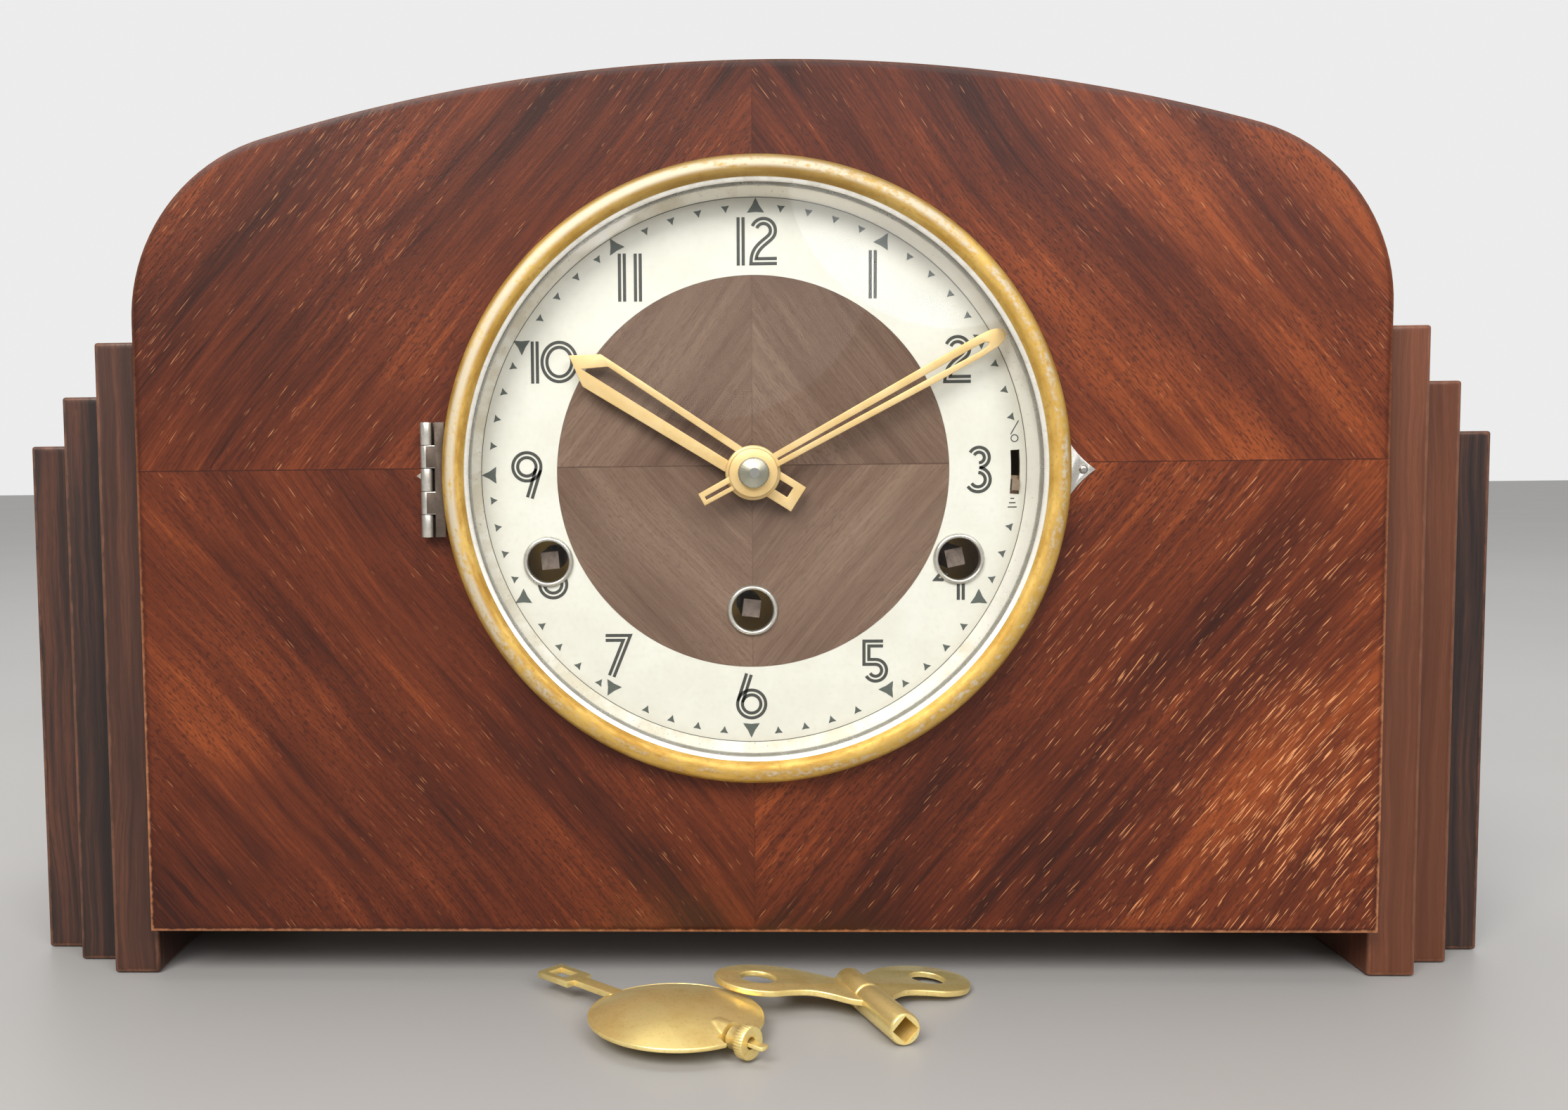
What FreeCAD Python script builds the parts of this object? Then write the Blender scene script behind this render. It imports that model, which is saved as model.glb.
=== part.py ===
import FreeCAD, Part, Sketcher
import math
import os
import re

from FreeCAD import Placement, Rotation, Vector

# A three-train mantel clock. X runs to the right, Y to the back, Z up, and the table is Z = 0.
# Depths in the sheet are counted from the front of the front panel, which stands at front_y.

DRIVING = {
    # case
    "front_y": (-46.4, "where the front of the panel stands in the model's frame"),
    "panel_half": (145.0, "half the width of the front panel"),
    "panel_bottom": (12.0, "height of the panel's lower edge"),
    "panel_top": (214.7, "height of the arch"),
    "panel_thick": (12.0, "front panel with its veneer"),
    "veneer_thick": (0.8, "the four front veneers"),
    "seam_height": (122.4, "level joint of the front veneers"),
    "arch_radius": (415.0, "long top arc"),
    "shoulder_radius": (43.0, "arc between the top and each side"),
    "shell_thick": (6.0, "bent wood round the top and sides"),
    "case_depth": (140.0, "panel front to back edge"),
    "board_thick": (10.0, "base board"),
    "rail_depth": (40.0, "seat rail, front to back"),
    "column_one_edge": (156.1, "outer side of the inner column"),
    "column_two_edge": (168.35, "outer side of the middle column"),
    "column_three_edge": (180.7, "outer side of the outer column"),
    "column_one_top": (153.1, "height of the inner column"),
    "column_two_top": (140.8, "height of the middle column"),
    "column_three_top": (129.0, "height of the outer column"),
    "column_one_front": (5.1, "set-back of the inner column"),
    "column_two_front": (14.8, "set-back of the middle column"),
    "column_three_front": (24.4, "set-back of the outer column"),
    # back
    "back_thick": (10.0, "back frame and door"),
    "back_inset": (1.0, "back frame below the shell's edge"),
    "door_half": (95.0, "half the width of the door opening"),
    "door_low": (32.0, "lower edge of the door opening"),
    "door_high": (166.0, "upper edge of the door opening"),
    "door_gap": (0.4, "gap round the door"),
    # dial and bezel
    "dial_height": (120.7, "centre of the dial"),
    "dial_hole": (69.0, "radius of the hole in the panel"),
    "bezel_outer": (71.9, "outer radius of the bezel"),
    "bezel_inner": (66.2, "inner radius of the bezel's lip"),
    "bezel_rise": (6.6, "bezel front before the panel"),
    "glass_rise": (6.0, "crown of the glass"),
    "glass_thick": (1.4, "glass"),
    "glass_radius": (66.0, "edge of the glass"),
    "dial_radius": (63.8, "visible edge of the chapter ring"),
    "dial_depth": (4.0, "front of the chapter ring behind the panel front"),
    "centre_radius": (45.9, "veneered centre disc"),
    "ring_thick": (0.6, "chapter ring sheet"),
    "plate_sheet": (0.8, "dial plate sheet"),
    "hinge_x": (75.6, "bezel hinge axis, left of the dial centre"),
    "hinge_fore": (2.2, "bezel hinge axis before the panel"),
    "knuckle": (1.5, "radius of the bezel hinge knuckles"),
    "hinge_low": (106.4, "lower end of the bezel hinge"),
    "knuckle_long": (5.35, "length of one bezel hinge knuckle"),
    "slot_radius": (61.2, "silencer slot, from the dial centre"),
    "slot_wide": (2.1, "silencer slot"),
    # winding and movement
    "wind_side": (48.2, "side winding arbors from the middle"),
    "wind_drop": (20.6, "side winding arbors below the dial centre"),
    "wind_low": (32.4, "middle winding arbor below the dial centre"),
    "grommet_outer": (6.0, "grommet flange radius"),
    "grommet_hole": (4.8, "grommet hole radius"),
    "square_side": (4.2, "winding square"),
    "plate_half": (75.0, "half the width of the movement plates"),
    "plate_low": (52.0, "lower edge of the movement plates"),
    "plate_high": (152.0, "upper edge of the movement plates"),
    "plate_thick": (1.8, "movement plates"),
    "front_plate_depth": (24.0, "front of the front plate"),
    "back_plate_depth": (62.0, "front of the back plate"),
    "drum_radius": (23.5, "spring barrels"),
    "motion_module": (0.7, "cannon pinion and minute wheel"),
    "hour_module": (0.672, "minute pinion and hour wheel"),
    "train_module": (0.675, "great wheel and centre pinion"),
    "pipe_radius": (2.5, "cannon tube"),
    "post_radius": (2.5, "dial posts and plate pillars"),
    # chime
    "rod_height": (38.0, "chime rods above the table"),
    "rod_radius": (1.25, "chime rods"),
    "rod_first": (90.0, "depth of the first chime rod"),
    "rod_pitch": (9.0, "chime rod spacing"),
    "hammer_x": (62.0, "hammer arbor right of the middle"),
    "hammer_height": (52.0, "hammer arbor above the table"),
    "hammer_reach": (38.0, "hammer arbor to hammer head"),
    "sway_height": (138.0, "where the pendulum leader swings from"),
    # loose pieces on the table
    "bob_x": (-18.8, "pendulum bob"),
    "bob_fore": (32.2, "pendulum bob before the panel"),
    "bob_radius": (19.1, "pendulum bob"),
    "bob_half": (4.0, "half the thickness of the bob"),
    "bob_turn": (-43.7, "direction of the rod, from +X"),
    "key_x": (20.7, "middle of the key's wings"),
    "key_fore": (9.3, "middle of the key's wings before the panel"),
    "key_turn": (17.0, "turn of the key's wings from +X"),
    "key_roll": (6.0, "roll of the key about its barrel"),
    "key_radius": (3.5, "key barrel"),
    "key_thick": (1.4, "key wings"),
}

doc = FreeCAD.newDocument("mantel_clock")
sheet = doc.addObject("Spreadsheet::Sheet", "Sizes")
for row, (alias, (value, meaning)) in enumerate(DRIVING.items(), start=1):
    sheet.set(f"A{row}", meaning)
    sheet.set(f"B{row}", str(value))
    sheet.setAlias(f"B{row}", alias)
doc.recompute()

subparts = []
names = iter(range(100000))

ALONG = {
    "x": Rotation(Vector(0, 1, 0), 90),
    "y": Rotation(Vector(1, 0, 0), -90),
    "z": Rotation(),
}


# ---- helpers: formulas, places, primitives and booleans ----

def bound(text):
    """A formula in which every word that is a cell's alias points into the sheet."""
    return re.sub(r"[a-z_]+", lambda found: f"Sizes.{found.group()}" if found.group() in DRIVING
                  else found.group(), str(text))


def worth(text):
    """The number that a formula gives now."""
    answer = sheet.evalExpression(bound(text))
    return float(getattr(answer, "Value", answer))


def place(thing, at, rotation=None):
    """Put a thing at (x, depth behind the panel front, z)."""
    x, depth, z = at
    place = Vector(worth(x), worth(f"front_y + ({depth})"), worth(z))
    thing.Placement = Placement(place, rotation or Rotation())
    thing.setExpression("Placement.Base.x", bound(x))
    thing.setExpression("Placement.Base.y", bound(f"front_y + ({depth})"))
    thing.setExpression("Placement.Base.z", bound(z))
    return thing


def part(kind, **sizes):
    thing = doc.addObject(f"Part::{kind}", f"shape_{next(names)}")
    for name, text in sizes.items():
        thing.setExpression(name, bound(text))
    return thing


def box(across, deep, tall, at, rotation=None):
    """A box whose lowest corner is at the given place."""
    return place(part("Box", Length=across, Width=deep, Height=tall), at, rotation)


def rod(radius, length, at, along="y", sides=None):
    """A round or many-sided rod that starts at the given place and runs along an axis."""
    if sides:
        bar = part("Prism", Circumradius=radius, Height=length)
        bar.Polygon = sides
    else:
        bar = part("Cylinder", Radius=radius, Height=length)
    return place(bar, at, along if isinstance(along, Rotation) else ALONG[along])


def ball(radius, at):
    return place(part("Sphere", Radius=radius), at)


def cut(base, *tools):
    result = base
    for tool in tools:
        lesser = doc.addObject("Part::Cut", f"shape_{next(names)}")
        lesser.Base, lesser.Tool = result, tool
        result = lesser
    return result


def fuse(*pieces):
    joined = doc.addObject("Part::MultiFuse", f"shape_{next(names)}")
    joined.Shapes = list(pieces)
    joined.Refine = True
    return joined


def common(*pieces):
    shared = doc.addObject("Part::MultiCommon", f"shape_{next(names)}")
    shared.Shapes = list(pieces)
    return shared


def group(*pieces):
    """Separate solids that share one node."""
    several = doc.addObject("Part::Compound", f"shape_{next(names)}")
    several.Links = list(pieces)
    return several


def rounded(base, radius, direction):
    """Fillet the straight edges that run along a direction."""
    doc.recompute()
    fillet = doc.addObject("Part::Fillet", f"shape_{next(names)}")
    fillet.Base = base
    edges = []
    for number, edge in enumerate(base.Shape.Edges, start=1):
        if isinstance(edge.Curve, Part.Line) and abs(edge.Curve.Direction.dot(direction)) > 0.999:
            edges.append((number, radius, radius))
    fillet.Edges = edges
    return fillet


def tube(outer, inner, length, at, along="y"):
    return cut(rod(outer, length, at, along), rod(inner, length, at, along))


def made(name, shape, at=("0", "0", "0"), rotation=None):
    """A shape that code has made, in a feature of its own."""
    feature = doc.addObject("Part::Feature", f"shape_{next(names)}")
    feature.Shape = shape
    return place(feature, at, rotation)


def subpart(name, thing):
    thing.Label = name
    subparts.append(thing)
    return thing


# ---- helpers: sketched bodies ----

def new_sketch(body, plane):
    sketch = body.newObject("Sketcher::SketchObject", f"sketch_{next(names)}")
    origin_plane = next(o for o in body.Origin.OriginFeatures if o.Role == plane)
    sketch.AttachmentSupport = [(origin_plane, "")]
    sketch.MapMode = "FlatFace"
    return sketch


def hold_point(sketch, edge, end, x, y):
    """Tie an edge's end to formulas for its place in the sketch."""
    for kind, text in (("DistanceX", x), ("DistanceY", y)):
        number = sketch.addConstraint(Sketcher.Constraint(kind, -1, 1, edge, end, worth(text)))
        sketch.setExpression(f"Constraints[{number}]", bound(text))


def outline(sketch, corners):
    """Straight lines through corners whose places are formulas."""
    points = [Vector(worth(x), worth(y), 0) for x, y in corners]
    first = sketch.GeometryCount
    for start, end in zip(points, points[1:] + points[:1]):
        sketch.addGeometry(Part.LineSegment(start, end), False)
    for number, (x, y) in enumerate(corners):
        before = first + (number - 1) % len(corners)
        sketch.addConstraint(Sketcher.Constraint("Coincident", before, 2, first + number, 1))
        hold_point(sketch, first + number, 1, x, y)


def turned(profile, at, rotation=None):
    """A body turned about the depth axis, from corners given as (radius, depth)."""
    body = doc.addObject("PartDesign::Body", f"body_{next(names)}")
    sketch = new_sketch(body, "XY_Plane")
    outline(sketch, profile)
    turn = body.newObject("PartDesign::Revolution", f"turn_{next(names)}")
    turn.Profile = sketch
    turn.ReferenceAxis = (sketch, ["V_Axis"])
    turn.Angle = 360
    sketch.Visibility = False
    return place(body, at, rotation)


def arched(inset, low, thick, depth):
    """A body with the case's arched outline, drawn in by inset and standing on the level low."""
    body = doc.addObject("PartDesign::Body", f"body_{next(names)}")
    sketch = new_sketch(body, "XZ_Plane")
    half = worth(f"panel_half - ({inset})")
    top = worth(f"panel_top - ({inset})")
    big = worth(f"arch_radius - ({inset})")
    small = worth(f"shoulder_radius - ({inset})")
    floor = worth(low)
    top_centre = Vector(0, top - big, 0)
    shoulder_x = half - small
    shoulder_z = top_centre.y + math.sqrt((big - small) ** 2 - shoulder_x ** 2)
    lean = math.atan2(shoulder_z - top_centre.y, shoulder_x)
    axis = Vector(0, 0, 1)
    right = Part.Circle(Vector(shoulder_x, shoulder_z, 0), axis, small)
    left = Part.Circle(Vector(-shoulder_x, shoulder_z, 0), axis, small)
    shapes = [
        Part.LineSegment(Vector(-half, floor, 0), Vector(half, floor, 0)),
        Part.LineSegment(Vector(half, floor, 0), Vector(half, shoulder_z, 0)),
        Part.ArcOfCircle(right, 0, lean),
        Part.ArcOfCircle(Part.Circle(top_centre, axis, big), lean, math.pi - lean),
        Part.ArcOfCircle(left, math.pi - lean, math.pi),
        Part.LineSegment(Vector(-half, shoulder_z, 0), Vector(-half, floor, 0)),
    ]
    sketch.addGeometry(shapes, False)
    ties = [("Coincident", 0, 2, 1, 1), ("Coincident", 5, 2, 0, 1), ("Tangent", 1, 2, 2, 1),
            ("Tangent", 2, 2, 3, 1), ("Tangent", 3, 2, 4, 1), ("Tangent", 4, 2, 5, 1),
            ("Horizontal", 0), ("Vertical", 1), ("Vertical", 5), ("PointOnObject", 3, 3, -2)]
    for tie in ties:
        sketch.addConstraint(Sketcher.Constraint(*tie))
    hold_point(sketch, 0, 1, f"-(panel_half - ({inset}))", low)
    sizes = [("DistanceX", (-1, 1, 0, 2), f"panel_half - ({inset})", half),
             ("Radius", (3,), f"arch_radius - ({inset})", big),
             ("Radius", (2,), f"shoulder_radius - ({inset})", small),
             ("Radius", (4,), f"shoulder_radius - ({inset})", small),
             ("DistanceY", (-1, 1, 3, 3), "panel_top - arch_radius", top_centre.y)]
    for kind, where, text, value in sizes:
        number = sketch.addConstraint(Sketcher.Constraint(kind, *where, value))
        sketch.setExpression(f"Constraints[{number}]", bound(text))
    pad = body.newObject("PartDesign::Pad", f"pad_{next(names)}")
    pad.Profile = sketch
    pad.setExpression("Length", bound(thick))
    pad.Reversed = True
    return place(body, ("0", depth, "0"))


# ---- helpers: gears ----

def gear_face(teeth, module, tooth_angle):
    """An involute outline round Y with one tooth centred on an angle from +X towards +Z."""
    pressure = math.radians(25)
    pitch = teeth * module / 2
    base = pitch * math.cos(pressure)
    tip = pitch + 0.8 * module
    root = pitch - 1.1 * module
    slack = 0.86
    involute = math.tan(pressure) - pressure
    half_at_pitch = slack * math.pi / (2 * teeth)

    def half_angle(radius):
        turn = math.acos(min(1.0, base / max(radius, base)))
        return half_at_pitch + involute - (math.tan(turn) - turn)

    radii = [root] + [max(root, base) + (tip - max(root, base)) * step / 3 for step in range(4)]
    radii = radii if base > root else radii[1:]
    corners = []
    for tooth in range(teeth):
        middle = math.radians(tooth_angle) + tooth * math.tau / teeth
        rising = [(radius, middle - half_angle(radius)) for radius in radii]
        falling = [(radius, middle + half_angle(radius)) for radius in reversed(radii)]
        corners += rising + falling
    points = [Vector(r * math.cos(a), 0, r * math.sin(a)) for r, a in corners]
    return Part.Face(Part.makePolygon(points + points[:1]))


def gear(teeth, module, tooth_angle, thick, bore, centre):
    """A toothed wheel with a hole, standing at (x, depth, z)."""
    solid = gear_face(teeth, worth(module), tooth_angle).extrude(Vector(0, thick, 0))
    wheel = made("gear", solid, centre)
    return cut(wheel, rod(bore, str(thick), centre)) if bore else wheel


# ---- case ----

def wooden_case():
    dial_hole = rod("dial_hole", "panel_thick + 2", ("0", "-1", "dial_height"))
    panel = arched("0", "panel_bottom", "panel_thick - veneer_thick", "veneer_thick")
    subpart("front_panel", cut(panel, dial_hole))
    sheet_of_veneer = cut(arched("0", "panel_bottom", "veneer_thick", "0"),
                          rod("dial_hole", "panel_thick", ("0", "-1", "dial_height")))
    quarters = []
    for x in ("-panel_half", "0"):
        for low, tall in (("panel_bottom", "seam_height - panel_bottom"),
                          ("seam_height", "panel_top - seam_height + 1")):
            window = box("panel_half", "veneer_thick", tall, (x, "0", low))
            quarters.append(common(sheet_of_veneer, window))
    subpart("front_veneers", group(*quarters))
    outside = arched("0", "panel_bottom", "case_depth - panel_thick", "panel_thick")
    inside = arched("shell_thick", "panel_bottom", "case_depth - panel_thick", "panel_thick")
    subpart("top_shell", cut(outside, inside))
    subpart("base_board", box("2 * (panel_half - shell_thick)", "case_depth - panel_thick - back_thick - back_inset",
                              "board_thick", ("shell_thick - panel_half", "panel_thick", "panel_bottom")))


def columns():
    steps = (("inner", "panel_half", "column_one_edge", "column_one_top", "column_one_front"),
             ("middle", "column_one_edge", "column_two_edge", "column_two_top", "column_two_front"),
             ("outer", "column_two_edge", "column_three_edge", "column_three_top", "column_three_front"))
    for step, near, far, top, front in steps:
        for side, start in (("left", f"-({far})"), ("right", near)):
            column = box(f"{far} - {near}", f"case_depth - 2 * {front}", top, (start, front, "0"))
            subpart(f"{side}_column_{step}", rounded(column, 0.8, Vector(0, 1, 0)))


def back_of_case():
    depth = "case_depth - back_thick - back_inset"
    frame = arched("shell_thick", "panel_bottom", "back_thick", depth)
    opening = box("2 * door_half", "back_thick", "door_high - door_low", ("-door_half", depth, "door_low"))
    screw_place = ("-door_half - 6.5", "door_low + 65")
    screw_hole = rod("1.6", "6", (screw_place[0], "case_depth - back_inset - 6", screw_place[1]))
    subpart("back_frame", cut(frame, opening, screw_hole))
    door = box("2 * (door_half - door_gap)", "back_thick", "door_high - door_low - 2 * door_gap",
               ("door_gap - door_half", depth, "door_low + door_gap"))
    finger = rod("9", "back_thick", ("door_gap - door_half", depth, "door_low + 100"))
    vents = [rod("2.5", "back_thick", (str(20 * number - 50), depth, "door_high - 16"))
             for number in range(6)]
    subpart("back_door", cut(door, finger, *vents))
    face = "case_depth - back_inset"
    screw = fuse(rod("1.6", "9.6", (screw_place[0], f"{face} - 6", screw_place[1])),
                 rod("3.2", "1.4", (screw_place[0], f"{face} + 3.5", screw_place[1])))
    slit = box("6.4", "0.6", "0.8", (f"{screw_place[0]} - 3.2", f"{face} + 4.5", f"{screw_place[1]} - 0.4"))
    subpart("turn_button_screw", cut(screw, slit))
    button = box("8", "3", "24", (f"{screw_place[0]} - 4", f"{face} + 0.3", f"{screw_place[1]} - 12"))
    button = rounded(button, 3.5, Vector(0, 1, 0))
    subpart("turn_button", cut(button, rod("1.7", "4", (screw_place[0], face, screw_place[1]))))
    back_hinges(face)


def back_hinges(face):
    axis_depth = f"{face} + 2"
    fixed, moving, pins = [], [], []
    for middle in ("door_low + 24", "door_high - 24"):
        low = f"{middle} - 9"
        plate = box("10", "0.8", "18", ("door_half + 2", face, low))
        plate = cut(plate, rod("1", "0.8", ("door_half + 8", face, f"{middle} - 5")),
                    rod("1", "0.8", ("door_half + 8", face, f"{middle} + 5")))
        pieces = [plate]
        for start in (low, f"{middle} + 4.1"):
            pieces.append(rod("1.7", "4.9", ("door_half", axis_depth, start), "z"))
            pieces.append(box("2.5", "0.8", "4.9", ("door_half", face, start)))
        whole = fuse(*pieces)
        fixed.append(cut(whole, rod("0.95", "18", ("door_half", axis_depth, low), "z")))
        leaf = box("10", "0.8", "18", ("door_half - 12", face, low))
        leaf = cut(leaf, rod("1", "0.8", ("door_half - 8", face, f"{middle} - 5")),
                   rod("1", "0.8", ("door_half - 8", face, f"{middle} + 5")))
        knuckle = rod("1.7", "8", ("door_half", axis_depth, f"{middle} - 4"), "z")
        neck = box("2.5", "0.8", "8", ("door_half - 2.5", face, f"{middle} - 4"))
        moving.append(cut(fuse(leaf, knuckle, neck),
                          rod("1", "18", ("door_half", axis_depth, low), "z")))
        pins.append(rod("0.95", "18", ("door_half", axis_depth, low), "z"))
    subpart("back_hinge_fixed_leaves", group(*fixed))
    subpart("back_hinge_moving_leaves", group(*moving))
    subpart("back_hinge_pins", group(*pins))


def seat_rails():
    top = "panel_bottom + board_thick"
    rails = [box("20", "rail_depth", f"plate_low - ({top})", (x, "front_plate_depth", top))
             for x in ("-plate_half", "plate_half - 20")]
    subpart("seat_rails", group(*rails))


# ---- dial ----

def slot_cutter(depth, thick, low_angle=-5.2, high_angle=4.4):
    """The curved silencer slot at three o'clock, as a block of its own."""
    inner = worth("slot_radius - slot_wide / 2")
    outer = worth("slot_radius + slot_wide / 2")

    def spot(radius, angle):
        return Vector(radius * math.cos(math.radians(angle)), 0, radius * math.sin(math.radians(angle)))

    middle = (low_angle + high_angle) / 2
    edges = [Part.Arc(spot(inner, low_angle), spot(inner, middle), spot(inner, high_angle)).toShape(),
             Part.makeLine(spot(inner, high_angle), spot(outer, high_angle)),
             Part.Arc(spot(outer, high_angle), spot(outer, middle), spot(outer, low_angle)).toShape(),
             Part.makeLine(spot(outer, low_angle), spot(inner, low_angle))]
    solid = Part.Face(Part.Wire(edges)).extrude(Vector(0, thick, 0))
    return made("slot", solid, ("0", depth, "dial_height"))


WINDING = (("-wind_side", "dial_height - wind_drop"), ("0", "dial_height - wind_low"),
           ("wind_side", "dial_height - wind_drop"))


def ear_outline(side):
    """A small plate beside the ring: concave flanks that run out to a point."""
    tip = Vector(side * 78.4, 0, 0)
    top = Vector(side * 70.8, 0, 9.2)
    low = Vector(side * 70.8, 0, -9.2)
    upper = Part.Arc(top, Vector(side * 74.0, 0, 4.0), tip).toShape()
    lower = Part.Arc(tip, Vector(side * 74.0, 0, -4.0), low).toShape()
    return Part.Face(Part.Wire([upper, lower, Part.makeLine(low, top)]))


def dial_parts():
    at = ("0", "0", "dial_height")
    ears = [made("ear", ear_outline(side).extrude(Vector(0, 0.6, 0)), ("0", "-0.6", "dial_height"))
            for side in (-1, 1)]
    ring = tube("72.3", "dial_hole - 0.8", "0.6", ("0", "-0.6", "dial_height"))
    pin_holes = [rod("0.7", "1", (x, "-0.8", "dial_height")) for x in ("-75.6", "75.6")]
    subpart("bezel_base_ring", cut(fuse(ring, *ears), *pin_holes))
    subpart("reflector_ring", turned((("dial_hole - 1.5", "-0.6"), ("dial_hole - 0.9", "0"),
                                      ("dial_hole - 0.9", "0.6"), ("dial_radius + 0.9", "dial_depth"),
                                      ("dial_radius", "dial_depth")), at))
    bore = rod("grommet_hole + 0.1", "8", ("0", "0", "dial_height - wind_low"))
    bores = [bore] + [rod("grommet_hole + 0.1", "8", (x, "0", z)) for x, z in (WINDING[0], WINDING[2])]
    middle = rod("5", "8", ("0", "0", "dial_height"))
    ring_depth = "dial_depth"
    chapter = tube("dial_radius + 2.2", "centre_radius", "ring_thick", ("0", ring_depth, "dial_height"))
    subpart("chapter_ring", cut(chapter, bores[1], bores[2], slot_cutter("dial_depth - 1", 3)))
    disc = rod("centre_radius - 0.05", "ring_thick", ("0", ring_depth, "dial_height"))
    subpart("dial_centre", cut(disc, bore, middle))
    plate_depth = "dial_depth + ring_thick"
    plate = rod("dial_hole - 1", "plate_sheet", ("0", plate_depth, "dial_height"))
    subpart("dial_plate", cut(plate, *bores, middle, slot_cutter("dial_depth - 1", 4)))
    grommets = []
    for x, z in WINDING:
        grommets.append(turned((("grommet_hole - 0.6", "dial_depth - 0.5"), ("grommet_hole", "dial_depth - 0.9"),
                                ("grommet_outer - 0.4", "dial_depth - 0.7"), ("grommet_outer", "dial_depth"),
                                ("grommet_hole + 0.1", "dial_depth"), ("grommet_hole + 0.1", "dial_depth + 2.6"),
                                ("grommet_hole - 0.6", "dial_depth + 2.6")), (x, "0", z)))
    subpart("winding_grommets", group(*grommets))
    back = "dial_depth + ring_thick + plate_sheet"
    posts = [rod("post_radius", f"front_plate_depth - ({back})", (x, back, z))
             for x in ("-38", "38") for z in ("dial_height + 28", "dial_height - 48")]
    subpart("dial_posts", group(*posts))


def chime_lever():
    """An arm behind the dial that turns about the dial centre, with a tongue in the slot."""
    depth = "dial_depth + ring_thick + plate_sheet + 0.3"
    hub = rod("7.5", "0.8", ("0", depth, "dial_height"))
    arm = box("slot_radius - 5", "0.8", "4.4", ("6", depth, "dial_height - 2.2"))
    turn_down = Rotation(Vector(0, 1, 0), 3.2)
    tongue = box("1.7", "3.2", "2.6", ("slot_radius - 0.85", f"{depth} - 2.7", "dial_height - 1.3"))
    whole = cut(fuse(hub, arm, tongue), rod("5.6", "2", ("0", depth, "dial_height")))
    doc.recompute()
    solid = whole.Shape.copy()
    centre = Vector(0, worth("front_y"), worth("dial_height"))
    solid.rotate(centre, Vector(0, 1, 0), turn_down.Angle * 180 / math.pi)
    lever = doc.addObject("Part::Feature", f"shape_{next(names)}")
    lever.Shape = solid
    subpart("chime_lever", lever)


# ---- bezel ----

def bezel_parts():
    at = ("0", "0", "dial_height")
    subpart("bezel_frame", turned((("bezel_outer", "-0.9"), ("bezel_outer", "-4.6"),
                                   ("bezel_outer - 0.9", "-5.9"), ("bezel_outer - 2.4", "-bezel_rise"),
                                   ("bezel_outer - 3.9", "-bezel_rise + 0.3"), ("bezel_inner + 0.7", "-5.4"),
                                   ("bezel_inner - 0.6", "-5.1"), ("bezel_inner - 0.6", "-4.9"),
                                   ("bezel_inner", "-4.8"), ("bezel_inner", "-2.2"),
                                   ("bezel_inner + 1.6", "-2.2"), ("bezel_inner + 1.6", "-0.9")), at))
    curve = worth("(glass_radius * glass_radius + glass_rise * glass_rise) / (2 * glass_rise)")
    centre_depth = f"{curve:.4f} - 4.8 - glass_rise"
    shell = cut(ball(f"{curve:.4f}", ("0", centre_depth, "dial_height")),
                ball(f"{curve:.4f} - glass_thick", ("0", centre_depth, "dial_height")))
    subpart("bezel_glass", common(shell, rod("glass_radius", "9", ("0", "-12", "dial_height"))))
    subpart("glass_retainer", turned((("bezel_inner", "-3.2"), ("bezel_inner - 1.0", "-3.2"),
                                      ("bezel_inner - 1.0", "-2.4"), ("bezel_inner", "-2.4")), at))


def bezel_hinge():
    axis = ("-hinge_x", "-hinge_fore")
    fixed, moving = [], []
    for number in range(5):
        low = f"hinge_low + {number} * knuckle_long"
        pieces = fixed if number % 2 == 0 else moving
        pieces.append(rod("knuckle", "knuckle_long - 0.12", (*axis, f"{low} + 0.06"), "z"))
        neck = ("3.5", "0.6", "-1.3") if pieces is fixed else ("4.4", "0.9", "-hinge_fore - knuckle")
        across, deep, depth = neck
        pieces.append(box(across, deep, "knuckle_long - 0.12", ("-hinge_x", depth, f"{low} + 0.06")))
    plate = box("1.8", "0.6", "5 * knuckle_long - 0.12", ("-73.9", "-1.3", "hinge_low + 0.06"))
    bore = rod("0.6", "5 * knuckle_long", (*axis, "hinge_low"), "z")
    subpart("bezel_hinge_fixed_leaf", cut(fuse(plate, *fixed), bore))
    bar = box("2.4", "0.9", "5 * knuckle_long - 0.12", ("-73.6", "-hinge_fore - knuckle", "hinge_low + 0.06"))
    ring_room = rod("bezel_outer", "8", ("0", "-8", "dial_height"))
    wide_bore = rod("0.65", "5 * knuckle_long", (*axis, "hinge_low"), "z")
    subpart("bezel_hinge_moving_leaf", cut(fuse(bar, *moving), ring_room, wide_bore))
    subpart("bezel_hinge_pin", rod("0.6", "5 * knuckle_long", (*axis, "hinge_low"), "z"))


# ---- hands ----

def rail(start, end, wide):
    """The four corners of a flat strip from one point to another, across X and Z."""
    run = Vector(*end, 0) - Vector(*start, 0)
    side = Vector(-run.y, run.x, 0).normalize() * (wide / 2)
    a, b = Vector(*start, 0), Vector(*end, 0)
    return [a + side, a - side, b - side, b + side]


def strip(corners, thick):
    points = [Vector(p.x, 0, p.y) for p in corners]
    return Part.Face(Part.makePolygon(points + points[:1])).extrude(Vector(0, thick, 0))


def hand(name, pieces, thick, boss, hole, depth, boss_depth, boss_thick, clock_angle):
    """A pierced hand drawn pointing up, then turned clockwise to its place."""
    solid = strip(pieces[0], thick)
    for corners in pieces[1:]:
        solid = solid.fuse(strip(corners, thick))
    solid = solid.removeSplitter()
    solid.translate(Vector(0, depth, 0))
    disc = Part.makeCylinder(boss, boss_thick, Vector(0, boss_depth, 0), Vector(0, 1, 0))
    bore = Part.makeCylinder(hole, 6, Vector(0, boss_depth - 2, 0), Vector(0, 1, 0))
    solid = solid.fuse(disc).cut(bore).removeSplitter()
    solid.rotate(Vector(0, 0, 0), Vector(0, 1, 0), clock_angle)
    subpart(name, made(name, solid, ("0", "0", "dial_height")))


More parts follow.
